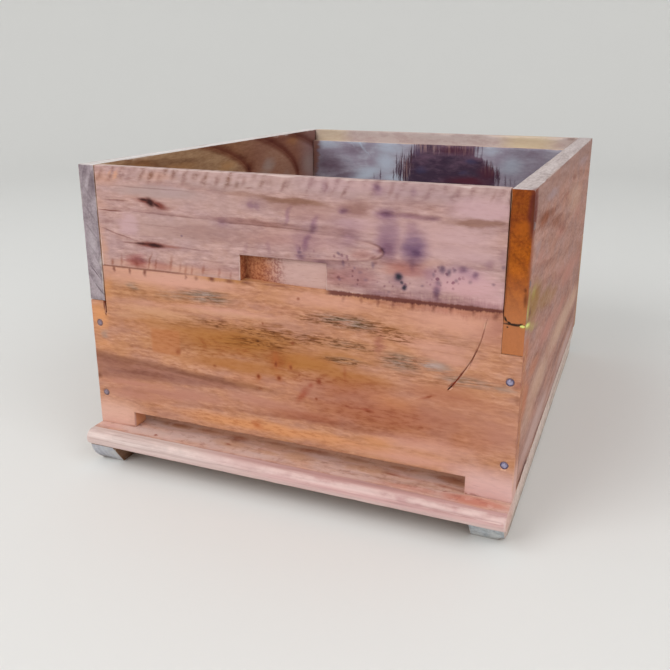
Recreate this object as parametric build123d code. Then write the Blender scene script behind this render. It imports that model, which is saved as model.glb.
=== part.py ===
from build123d import *
import os

# A wooden hive box that stands loose on its floor.
# Four walls, each of two boards glued edge to edge, meet in half-height finger joints nailed both ways.
# The floor is a row of cross boards with a rounded alighting lip, nailed to two runners.
# Millimetres. +Z is up, and the entrance faces -Y.
# The origin is on the ground, at the centre of the whole footprint.

# Hive body, outside
body_width = 413.0
body_length = 508.0
body_height = 258.0
side_thick = 17.0
end_thick = 18.0

# Corner joints: the end walls' tongues show below, and the side walls' fingers above
tongue_height = 129.0
shoulder_gap = 0.8
finger_gap = 0.4
side_lift = 1.2

# Seam between the two boards of each wall, above the bottom of the body
front_seam = 164.5
back_seam = 150.0
left_seam = 75.0
right_seam = 155.0

# Right wall's front end: an open split in the seam, and a natural edge that lifts the bottom
split_height = 3.2
split_depth = 34.0
wane_height = 4.5
wane_length = 110.0

# Entrance under the front wall, between two legs
entrance_height = 16.0
entrance_leg = 40.0

# Rebates in the top inner edges of the end walls, which carry the frames
rest_height = 15.0
rest_depth = 9.0

# Handholds on the seam of the front and back walls, scooped deep at one end and running out at the other
handhold_length = 82.0
handhold_height = 23.0
handhold_deep = 11.0
handhold_shallow = 2.0

# Saw overrun below the front wall's left shoulder
kerf_width = 1.4
kerf_depth = 12.0

# Floor
floor_thick = 16.0
lip_reach = 25.0
lip_nose_flat = 0.2
floor_gap = 0.6
floor_board_names = ("floor_lip_board", "floor_second_board", "floor_third_board", "floor_rear_board")
short_board_names = ("floor_third_board", "floor_rear_board")
short_by = 1.5

# Runners, with both ends cut on a slope
runner_height = 22.0
runner_slope = 16.0
left_runner_width = 26.0
left_runner_inset = 0.0
left_runner_setback = 5.0
right_runner_width = 30.0
right_runner_inset = 3.0
right_runner_setback = 10.0

# Wire nails, with low domed heads let in flush
nail_diameter = 3.2
nail_head_diameter = 7.0
nail_head_thick = 1.6
nail_dome = 0.6
nail_point = 5.0
nail_tip_diameter = 0.5
nail_clearance = 0.05
wall_nail_length = 60.0
floor_nail_cover = 4.0
tongue_nail_low = 33.0
tongue_nail_drop = 23.0
finger_nail_low = 56.0
finger_nail_drop = 28.0
floor_nail_edge = 32.0

# How far a cutting shape runs past an open face
cut_past = 1.0

# Levels and faces worked out from the sizes above
floor_bottom = runner_height
body_base = floor_bottom + floor_thick
body_top = body_base + body_height
tongue_top = body_base + tongue_height
overall_length = lip_reach + body_length
floor_front = -overall_length / 2
floor_back = overall_length / 2
body_front = floor_front + lip_reach
body_back = body_front + body_length
outer_x = body_width / 2
inner_x = outer_x - side_thick
shoulder_x = inner_x - shoulder_gap


def block(x_range, y_range, z_range):
    """A box between two values on each axis."""
    ranges = (x_range, y_range, z_range)
    middle = [(a + b) / 2 for a, b in ranges]
    size = [abs(b - a) for a, b in ranges]
    return Pos(*middle) * Box(*size)


def end_wall(face, inward):
    """Front or back wall as one panel: full-width tongues below, shoulders above, a frame rest on top."""
    inner = face + inward * end_thick
    tongues = block((-outer_x, outer_x), (face, inner), (body_base, tongue_top - finger_gap))
    panel = block((-shoulder_x, shoulder_x), (face, inner), (body_base, body_top))
    rest = block(
        (-outer_x, outer_x),
        (inner - inward * rest_depth, inner + inward * cut_past),
        (body_top - rest_height, body_top + cut_past),
    )
    return tongues + panel - rest


def handhold(face, turn, seam):
    """Scooped recess above a seam, deepest on the left of whoever faces the wall."""
    half = handhold_length / 2
    scoop = TangentArc((half, handhold_shallow), (-half, handhold_deep), tangent=(-1, 0))
    mouth = Polyline(
        (-half, handhold_deep),
        (-half, -cut_past),
        (half, -cut_past),
        (half, handhold_shallow),
    )
    recess = extrude(make_face(scoop + mouth), amount=handhold_height, dir=(0, 0, 1))
    return Pos(0, face, body_base + seam) * Rot(0, 0, turn) * recess


def entrance():
    """Wide slot along the bottom of the front wall."""
    half = outer_x - entrance_leg
    return block(
        (-half, half),
        (body_front - cut_past, body_front + end_thick + cut_past),
        (body_base - cut_past, body_base + entrance_height),
    )


def saw_overrun():
    """Cut left in the front wall where the saw ran on past the left shoulder."""
    return block(
        (-shoulder_x - kerf_width, -shoulder_x),
        (body_front - cut_past, body_front + end_thick + cut_past),
        (tongue_top - kerf_depth, tongue_top),
    )


def side_wall(outer, inward):
    """Left or right wall as one panel: its fingers above run past the end walls to the outside."""
    inner = outer + inward * side_thick
    fingers = block((outer, inner), (body_front, body_back), (tongue_top, body_top))
    panel = block(
        (outer, inner),
        (body_front + end_thick, body_back - end_thick),
        (body_base + side_lift, body_top),
    )
    return fingers + panel


def seam_split():
    """Open wedge below the right wall's seam, widest at the front end."""
    seam_z = body_base + right_seam
    outline = Polygon(
        (body_front - cut_past, seam_z),
        (body_front + split_depth, seam_z),
        (body_front - cut_past, seam_z - split_height),
        align=None,
    )
    return extrude(Plane.YZ.offset(inner_x - cut_past) * outline, amount=side_thick + 2 * cut_past)


def waney_edge():
    """Wedge of missing wood along the front of the right wall's bottom edge."""
    start = body_front + end_thick
    low = body_base + side_lift
    outline = Polygon(
        (start - cut_past, low),
        (start + wane_length, low),
        (start - cut_past, low + wane_height),
        align=None,
    )
    return extrude(Plane.YZ.offset(inner_x - cut_past) * outline, amount=side_thick + 2 * cut_past)


def below_seam(seam):
    """Everything in the body below a seam."""
    return block((-outer_x, outer_x), (body_front, body_back), (body_base, body_base + seam))


def floor_board(index):
    """One cross board of the floor; the first has the rounded lip."""
    count = len(floor_board_names)
    depth = (overall_length - (count - 1) * floor_gap) / count
    front = floor_front + index * (depth + floor_gap)
    right_end = outer_x
    if floor_board_names[index] in short_board_names:
        right_end = outer_x - short_by
    board = block((-outer_x, right_end), (front, front + depth), (floor_bottom, body_base))
    if index == 0:
        lip_edges = board.edges().filter_by(Axis.X).group_by(Axis.Y)[0]
        board = fillet(lip_edges, (floor_thick - lip_nose_flat) / 2)
    nail_rows = (front + floor_nail_edge, front + depth - floor_nail_edge)
    return board, nail_rows


def runner(x_low, width, setback):
    """Batten under the floor with sloping ends."""
    front = floor_front + setback
    outline = Polygon(
        (front, floor_bottom),
        (front + runner_slope, 0),
        (floor_back - runner_slope, 0),
        (floor_back, floor_bottom),
        align=None,
    )
    return extrude(Plane.YZ.offset(x_low) * outline, amount=width)


def nail(length):
    """Wire nail pointing down, with the top of its domed head at the origin."""
    head = nail_head_diameter / 2
    shank = nail_diameter / 2
    dome = TangentArc((0, 0), (head, -nail_dome), tangent=(1, 0))
    outline = Polyline(
        (head, -nail_dome),
        (head, -nail_head_thick),
        (shank, -nail_head_thick),
        (shank, nail_point - length),
        (nail_tip_diameter / 2, -length),
        (0, -length),
        (0, 0),
    )
    return revolve(Plane.XZ * make_face(dome + outline), Axis.Z)


def nail_hole(length):
    """Room for a nail: its outline and a clearance, open above the head."""
    head = nail_head_diameter / 2 + nail_clearance
    shank = nail_diameter / 2 + nail_clearance
    half_outline = Polygon(
        (0, cut_past),
        (head, cut_past),
        (head, -nail_head_thick),
        (shank, -nail_head_thick),
        (shank, nail_point - length),
        (nail_tip_diameter / 2 + nail_clearance, -length - nail_clearance),
        (0, -length - nail_clearance),
        align=None,
    )
    return revolve(Plane.XZ * half_outline, Axis.Z)


def driven_nails(places, length):
    """Nails and their holes at a list of places; each place is on the wood's face and looks out of it."""
    shape = nail(length)
    hole = nail_hole(length)
    return [place * shape for place in places], [place * hole for place in places]


# Walls as panels
front_wall = end_wall(body_front, 1) - entrance() - saw_overrun() - handhold(body_front, 0, front_seam)
back_wall = end_wall(body_back, -1) - handhold(body_back, 180, back_seam)
left_wall = side_wall(-outer_x, 1)
right_wall = side_wall(outer_x, -1) - seam_split() - waney_edge()

# Nails of the hive body
tongue_rows = (body_base + tongue_nail_low, tongue_top - tongue_nail_drop)
finger_rows = (tongue_top + finger_nail_low, body_top - finger_nail_drop)
side_middles = (-outer_x + side_thick / 2, outer_x - side_thick / 2)
end_middles = (body_front + end_thick / 2, body_back - end_thick / 2)
front_places = [Pos(x, body_front, z) * Rot(90, 0, 0) for x in side_middles for z in tongue_rows]
back_places = [Pos(x, body_back, z) * Rot(-90, 0, 0) for x in side_middles for z in tongue_rows]
left_places = [Pos(-outer_x, y, z) * Rot(0, -90, 0) for y in end_middles for z in finger_rows]
right_places = [Pos(outer_x, y, z) * Rot(0, 90, 0) for y in end_middles for z in finger_rows]

parts = {}
body_holes = []
wall_nails = (
    ("front_nails", front_places),
    ("back_nails", back_places),
    ("left_nails", left_places),
    ("right_nails", right_places),
)
for name, places in wall_nails:
    nails, holes = driven_nails(places, wall_nail_length)
    parts[name] = Compound(children=nails)
    body_holes += holes

# Boards of the hive body
walls = (
    ("front", front_wall, front_seam),
    ("back", back_wall, back_seam),
    ("left", left_wall, left_seam),
    ("right", right_wall, right_seam),
)
for name, wall, seam in walls:
    lower = below_seam(seam)
    parts[name + "_upper_board"] = wall - lower - body_holes
    parts[name + "_lower_board"] = (wall & lower) - body_holes

# Floor boards, runners and the nails between them
floor_boards = []
nail_rows = []
for index in range(len(floor_board_names)):
    board, rows = floor_board(index)
    floor_boards.append(board)
    nail_rows += rows

left_runner_x = -outer_x + left_runner_inset
right_runner_x = outer_x - right_runner_inset - right_runner_width
runners = (
    ("left_runner", left_runner_x, left_runner_width, left_runner_setback),
    ("right_runner", right_runner_x, right_runner_width, right_runner_setback),
)
floor_nail_length = floor_thick + runner_height - floor_nail_cover
floor_holes = []
for name, x_low, width, setback in runners:
    places = [Pos(x_low + width / 2, y, body_base) for y in nail_rows]
    nails, holes = driven_nails(places, floor_nail_length)
    parts[name + "_nails"] = Compound(children=nails)
    parts[name] = runner(x_low, width, setback) - holes
    floor_holes += holes
for name, board in zip(floor_board_names, floor_boards):
    parts[name] = board - floor_holes

os.makedirs("parts", exist_ok=True)
for name, shape in parts.items():
    export_step(shape, "parts/" + name + ".step")
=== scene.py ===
import math

import bmesh
import bpy
from mathutils import Matrix, Vector, noise


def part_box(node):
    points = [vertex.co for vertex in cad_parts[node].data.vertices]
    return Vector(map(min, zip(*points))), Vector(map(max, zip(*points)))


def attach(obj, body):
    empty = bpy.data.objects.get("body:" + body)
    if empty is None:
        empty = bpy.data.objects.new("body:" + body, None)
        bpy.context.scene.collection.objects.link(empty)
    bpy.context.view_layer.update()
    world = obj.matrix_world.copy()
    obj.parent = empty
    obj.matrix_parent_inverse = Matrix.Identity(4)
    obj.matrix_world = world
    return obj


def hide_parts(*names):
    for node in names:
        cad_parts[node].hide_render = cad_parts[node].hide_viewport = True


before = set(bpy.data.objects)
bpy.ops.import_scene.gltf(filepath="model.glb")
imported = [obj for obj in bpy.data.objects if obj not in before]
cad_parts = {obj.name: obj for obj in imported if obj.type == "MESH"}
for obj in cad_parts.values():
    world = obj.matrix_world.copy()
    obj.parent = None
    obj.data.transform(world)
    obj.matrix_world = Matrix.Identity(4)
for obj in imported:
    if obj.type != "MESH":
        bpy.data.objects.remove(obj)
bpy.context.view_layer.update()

# A bare wooden hive box on its floor: worn boards, hammered nails, stains, knots and cracks.
# Shapes are in metres. Places inside materials are in millimetres, laid out board by board.

mm = 0.001
millimetres = 1000.0

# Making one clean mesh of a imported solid, and cutting it
merge_distance = 0.001 * mm
flat_angle = math.radians(0.3)
cut_distance = 0.0001 * mm

# Wear on the boards
arris_angle = math.radians(50.0)
arris_round = 0.45 * mm
arris_flatness = 0.97
arris_chip = 0.45 * mm
arris_chip_length = 16.0 * mm
fine_chip_length = 4.0 * mm
chip_share = 0.15
grid_step = 5.0 * mm
front_grid_step = 3.0 * mm
face_wave = 0.12 * mm
face_wave_length = 45.0 * mm
wear_shift = Vector((0.37, 0.19, 0.53))
nail_room = 1.0 * mm
glue_reach = 0.05 * mm
board_smoothing = math.radians(28.0)

# Nails
head_radius = 3.5 * mm
head_dome = 0.9 * mm
head_proud = 0.55 * mm
head_thick = 1.6 * mm
head_rim = 0.2 * mm
head_foot_radius = 0.96 * head_radius
shank_radius = 1.6 * mm
point_length = 5.0 * mm
nail_steps = 28
nail_merge = 0.01 * mm
nail_smoothing = math.radians(40.0)
hammer_dent = 0.12 * mm
hammer_dent_length = 2.0 * mm
hammer_reach = 0.5 * mm

# Dome of a nail's head: share of its radius, and share of the dome lost there
head_curve = ((0.0, 0.0), (0.25, 0.04), (0.5, 0.15), (0.8, 0.5), (0.97, 0.85))

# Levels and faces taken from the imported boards
front_low, front_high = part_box("front_lower_board")
back_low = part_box("back_lower_board")[0]
left_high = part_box("left_upper_board")[1]
right_low, right_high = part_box("right_upper_board")
floor_low, floor_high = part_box("floor_lip_board")
runner_low, runner_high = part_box("right_runner")
body_base = front_low.z
front_seam = front_high.z

# Crack in the lower front board: along, up and width, from its hair end to its open end
crack_line = (
    (177.0, 156.0, 0.12),
    (175.6, 146.0, 0.18),
    (173.0, 136.0, 0.25),
    (169.6, 126.0, 0.4),
    (165.0, 117.0, 0.55),
    (160.5, 109.0, 0.8),
    (155.0, 100.5, 1.3),
    (150.4, 94.0, 1.9),
    (148.0, 91.2, 0.6),
)
crack_depth = 5.0 * mm

# Right runner's front outer foot, worn to a slope
worn_foot = Vector((runner_high.x - 7.0 * mm, runner_low.y + 16.0 * mm, runner_low.z))
worn_foot_slope = Vector((0.5, -0.3, -0.81)).normalized()

# Left runner's sawn front, swollen at its outer side
runner_slope = Vector((0, -22.0, -16.0)).normalized()
runner_swell = 3.6 * mm

# Right front corner of the alighting lip, rounded as seen from above, and where it is cut for that
lip_corner = 2.5 * mm
lip_corner_cuts = (0.0, 0.35, 0.65, 0.85)
lip_merge = 0.06 * mm

# The right finger's gap, drawn shut below the seam
shoulder_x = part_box("front_upper_board")[1].x
tongue_top = 0.5 * (body_base + left_high.z)
gap_drawn_in = 0.85 * (right_low.x - shoulder_x)
gap_run_in = 12.0 * mm

# Splinter left in the right wall's open seam: along x from the inner face, its underside and its top
splinter_line = (
    (0.4, 152.1, 153.7),
    (2.2, 152.3, 153.3),
    (4.4, 152.5, 153.4),
    (6.0, 153.1, 154.1),
    (8.2, 153.4, 154.6),
    (10.4, 153.2, 154.8),
    (12.2, 152.6, 154.7),
    (14.4, 152.5, 154.3),
    (16.6, 152.2, 154.5),
)
splinter_set_back = 0.5 * mm
splinter_ripple = 0.4 * mm
splinter_reach = Vector((0, 14.0, 0.5)) * mm

# Bead of glue at the outer end of that seam
bead_place = Vector((right_high.x - 2.2 * mm, front_low.y + 0.1 * mm, right_low.z - 1.9 * mm))
bead_size = Vector((2.0, 0.8, 1.0)) * mm
bead_lumps = 0.25
bead_lump_pitch = 1.7

# Studio
floor_radius = 2.4
sweep_radius = 1.4
sweep_steps = 12
floor_steps = 96
floor_merge = 0.1 * mm
key_place = Vector((-1.5, -2.4, 2.3))
key_power = 58.0
fill_place = Vector((2.3, -1.2, 1.8))
fill_power = 28.0
lamp_size = 2.6
world_strength = 0.62
box_middle = Vector((0.0, 0.0, 0.15))

# Camera, solved from the box's corners in the photograph
camera_place = Vector((0.28215, -0.80622, 0.37667))
camera_ahead = Vector((-0.35404, 0.88927, -0.28958)).normalized()
camera_right = Vector((0.92866, 0.37093, 0.00371)).normalized()
camera_lens = 40.91
camera_sensor = 36.0
camera_shift = (-0.0140, -0.0470)

# Patterns in the paint: how far rings and strokes stray in millimetres, and how a seam's dirt swings
ring_wander = 16.0
early_wood = 0.35
stroke_wander = 13.0
tongue_soft = 0.6
least_opening = 0.002
slow_swing = 1.6
fine_swing = 1.8
swing_base = -0.85

# Sockets of Blender's Mix node when it mixes colours
mix_share, mix_first, mix_second, mix_result = 0, 6, 7, 2


def shade(red, green, blue):
    """A colour as the eye sees it, 0 to 255, as the linear values that shaders take."""
    linear = []
    for value in (red, green, blue):
        part = value / 255
        linear.append(part / 12.92 if part <= 0.04045 else ((part + 0.055) / 1.055) ** 2.4)
    return (*linear, 1.0)


class Wiring:
    """Adds nodes to one node tree. A value that is a socket is linked, and any other is set."""

    def __init__(self, tree):
        self.tree = tree

    def feed(self, socket, value):
        if isinstance(value, bpy.types.NodeSocket):
            self.tree.links.new(value, socket)
        else:
            socket.default_value = value

    def tint(self, socket, colour):
        """Feeds a colour: a socket, or red, green and blue from 0 to 255."""
        self.feed(socket, shade(*colour) if isinstance(colour, tuple) else colour)

    def node(self, kind, values, **settings):
        made = self.tree.nodes.new(kind)
        for name, setting in settings.items():
            setattr(made, name, setting)
        for name, value in values.items():
            self.feed(made.inputs[name], value)
        return made

    def use(self, group, values):
        return self.node("ShaderNodeGroup", values, node_tree=group).outputs

    def work_out(self, kind, operation, values):
        made = self.node(kind, {}, operation=operation)
        for socket, value in zip(made.inputs, values):
            self.feed(socket, value)
        return made.outputs

    def maths(self, operation, *values):
        return self.work_out("ShaderNodeMath", operation, values)[0]

    def vector(self, operation, *values, output="Vector"):
        return self.work_out("ShaderNodeVectorMath", operation, values)[output]

    def times(self, first, *others):
        for other in others:
            first = self.maths("MULTIPLY", first, other)
        return first

    def over(self, first, second):
        return self.maths("DIVIDE", first, second)

    def less(self, first, second):
        return self.maths("SUBTRACT", first, second)

    def scaled(self, value, scale, offset):
        return self.maths("MULTIPLY_ADD", value, scale, offset)

    def parts(self, vector):
        return self.node("ShaderNodeSeparateXYZ", {"Vector": vector}).outputs

    def smooth_step(self, value, low, high, first, last):
        """First up to low, last from high on, and smooth between."""
        values = {"Value": value, "From Min": low, "From Max": high, "To Min": first, "To Max": last}
        made = self.node("ShaderNodeMapRange", values, interpolation_type="SMOOTHSTEP", clamp=False)
        return made.outputs["Result"]

    def fade(self, value, start, end):
        """0 up to start, 1 from end on, and smooth between; start may be the larger."""
        if start < end:
            return self.smooth_step(value, start, end, 0.0, 1.0)
        return self.smooth_step(value, end, start, 1.0, 0.0)

    def noise(self, place, scale, detail=3.0, roughness=0.6, output=0):
        """An uneven pattern about a half, with its own cycles per millimetre along, inward and up."""
        stretched = self.vector("MULTIPLY", place, scale)
        values = {"Vector": stretched, "Scale": 1.0, "Detail": detail, "Roughness": roughness}
        return self.node("ShaderNodeTexNoise", values).outputs[output]

    def mix(self, share, first, second, blend="MIX"):
        made = self.node("ShaderNodeMix", {}, data_type="RGBA", blend_type=blend)
        self.feed(made.inputs[mix_share], share)
        self.tint(made.inputs[mix_first], first)
        self.tint(made.inputs[mix_second], second)
        return made.outputs[mix_result]

    def ramp(self, value, colours):
        """A run of colours, evenly spaced, picked by a value from 0 to 1."""
        made = self.node("ShaderNodeValToRGB", {"Fac": value})
        stops = made.color_ramp.elements
        while len(stops) < len(colours):
            stops.new(1.0)
        for index, colour in enumerate(colours):
            stops[index].position = index / (len(colours) - 1)
            stops[index].color = shade(*colour)
        return made.outputs["Color"]


def new_group(name, vectors, values, gives):
    """An empty shader group with its wiring, and the sockets it takes from and gives to."""
    tree = bpy.data.node_groups.new(name, "ShaderNodeTree")
    for label in vectors:
        tree.interface.new_socket(label, in_out="INPUT", socket_type="NodeSocketVector")
    for label in values:
        tree.interface.new_socket(label, in_out="INPUT", socket_type="NodeSocketFloat")
    for label in gives:
        tree.interface.new_socket(label, in_out="OUTPUT", socket_type="NodeSocketFloat")
    taken = tree.nodes.new("NodeGroupInput").outputs
    given = tree.nodes.new("NodeGroupOutput").inputs
    return tree, Wiring(tree), taken, given


def make_wood_figure():
    """Growth rings about a leaning heart line, long streaks, short flecks, slow mottling and open pores."""
    vectors = ("Place", "Shift", "Heart")
    values = ("Tilt", "Ring Width", "Rings", "Streaks", "Flecks")
    gives = ("Tone", "Flecks", "Mottle", "Pores")
    tree, w, taken, given = new_group("Wood figure", vectors, values, gives)
    place = w.vector("ADD", taken["Place"], taken["Shift"])
    along, inward, up = w.parts(taken["Place"])
    slope, heart_in, heart_up = w.parts(taken["Heart"])
    height = w.less(up, w.scaled(along, slope, heart_up))
    inset = w.less(inward, w.scaled(along, taken["Tilt"], heart_in))
    from_heart = w.maths("SQRT", w.scaled(height, height, w.times(inset, inset)))
    wander = w.noise(place, (0.008, 0.03, 0.024), roughness=0.5)
    turn = w.maths("FRACT", w.over(w.scaled(wander, ring_wander, from_heart), taken["Ring Width"]))
    late_wood = w.times(w.fade(turn, 0.2, 0.88), w.fade(turn, 1.0, 0.9))
    ring_show = w.fade(w.noise(place, (0.005, 0.03, 0.03), detail=1.0, roughness=0.5), 0.3, 0.6)
    rings = w.times(w.less(late_wood, early_wood), ring_show)
    streaks = w.less(w.noise(place, (0.009, 0.1, 0.1), detail=4.0), 0.5)
    flecks = w.noise(place, (0.11, 0.42, 0.42))
    tone = w.scaled(rings, taken["Rings"], 0.5)
    tone = w.scaled(streaks, taken["Streaks"], tone)
    tone = w.scaled(w.less(flecks, 0.5), taken["Flecks"], tone)
    w.feed(given["Tone"], tone)
    w.feed(given["Flecks"], flecks)
    w.feed(given["Mottle"], w.noise(place, (0.028, 0.06, 0.06), detail=4.0))
    w.feed(given["Pores"], w.fade(w.noise(place, (0.08, 1.2, 1.2), detail=2.0), 0.6, 0.72))
    return tree


def make_stain():
    """One oval mark: full inside its core and gone at its reach."""
    axes = ("Long Axis", "Short Axis", "Through Axis")
    vectors = ("Place", "Centre") + axes
    tree, w, taken, given = new_group("Stain", vectors, ("Core", "Strength"), ("Cover",))
    offset = w.vector("SUBTRACT", taken["Place"], taken["Centre"])
    square = 0.0
    for axis in axes:
        share = w.vector("DOT_PRODUCT", offset, taken[axis], output="Value")
        square = w.scaled(share, share, square)
    edge = w.smooth_step(w.maths("SQRT", square), taken["Core"], 1.0, 1.0, 0.0)
    w.feed(given["Cover"], w.times(edge, taken["Strength"]))
    return tree


def make_tongue_figure():
    """The pointed loop that a growth ring makes on a flat-sawn face: its line, and the wood beside it."""
    values = ("Half Width", "Run", "Line", "Beside")
    gives = ("Line", "Within", "Outside")
    tree, w, taken, given = new_group("Tongue figure", ("Place", "Tip"), values, gives)
    offset = w.parts(w.vector("SUBTRACT", taken["Place"], taken["Tip"]))
    share = w.over(offset["Z"], taken["Half Width"])
    opening = w.maths("MAXIMUM", w.less(1.0, w.times(share, share)), least_opening)
    past = w.less(offset["X"], w.times(w.maths("LOGARITHM", opening, math.e), taken["Run"]))
    steep = w.over(w.times(share, w.times(taken["Run"], 2.0)), opening)
    steep = w.over(steep, taken["Half Width"])
    away = w.over(past, w.maths("SQRT", w.scaled(steep, steep, 1.0)))
    beside = w.over(away, taken["Beside"])
    w.feed(given["Line"], w.fade(w.over(w.maths("ABSOLUTE", away), taken["Line"]), 1.0, 0.2))
    w.feed(given["Within"], w.times(w.fade(beside, -1.0, 0.0), w.fade(away, tongue_soft, -tongue_soft)))
    w.feed(given["Outside"], w.times(w.fade(beside, 1.0, 0.0), w.fade(away, -tongue_soft, tongue_soft)))
    return tree


def make_seam_stain():
    """Dirt drawn into a glued seam, thick in some stretches and thin in others."""
    values = ("Level", "Above", "Below", "Soft")
    tree, w, taken, given = new_group("Seam stain", ("Place",), values, ("Cover",))
    slow = w.noise(taken["Place"], (0.035, 0.0, 0.0), detail=2.0, roughness=0.5)
    fine = w.noise(taken["Place"], (0.4, 0.0, 0.1))
    swing = w.scaled(slow, slow_swing, w.scaled(fine, fine_swing, swing_base))
    over_seam = w.less(w.parts(taken["Place"])["Z"], taken["Level"])
    top = w.less(over_seam, w.times(taken["Above"], swing))
    bottom = w.scaled(taken["Below"], swing, over_seam)
    below_top = w.fade(w.over(top, taken["Soft"]), 1.0, -1.0)
    above_bottom = w.fade(w.over(bottom, taken["Soft"]), -1.0, 1.0)
    w.feed(given["Cover"], w.times(below_top, above_bottom))
    return tree


def make_chatter():
    """Torn grain left by a dull cutter: slanting strokes at an uneven pitch, torn into short nicks."""
    tree, w, taken, given = new_group("Cutter chatter", ("Place",), ("Pitch", "Slant"), ("Nicks",))
    place = taken["Place"]
    parts = w.parts(place)
    uneven = w.noise(place, (0.05, 0.1, 0.02))
    slanted = w.scaled(uneven, stroke_wander, w.scaled(parts["Z"], taken["Slant"], parts["X"]))
    turn = w.maths("FRACT", w.over(slanted, taken["Pitch"]))
    strokes = w.times(w.fade(turn, 0.05, 0.5), w.fade(turn, 0.95, 0.5))
    shown = w.fade(w.noise(place, (0.05, 0.1, 0.04), detail=2.0, roughness=0.5), 0.34, 0.62)
    torn = w.fade(w.noise(place, (0.1, 0.3, 0.2), detail=4.0, roughness=0.65), 0.3, 0.62)
    w.feed(given["Nicks"], w.times(strokes, w.times(shown, torn)))
    return tree


def make_edge_wear():
    """Where a board turns from face to edge, by the lean of its surface."""
    tree, w, taken, given = new_group("Edge wear", ("Facing",), (), ("Worn",))
    ahead, inward, upward = w.parts(w.vector("ABSOLUTE", taken["Facing"]))
    flattest = w.maths("MAXIMUM", w.maths("MAXIMUM", ahead, inward), upward)
    w.feed(given["Worn"], w.fade(flattest, 0.985, 0.86))
    return tree


wood_figure = make_wood_figure()
stain_mark = make_stain()
tongue_figure = make_tongue_figure()
seam_stain = make_seam_stain()
cutter_chatter = make_chatter()
edge_wear = make_edge_wear()


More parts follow.
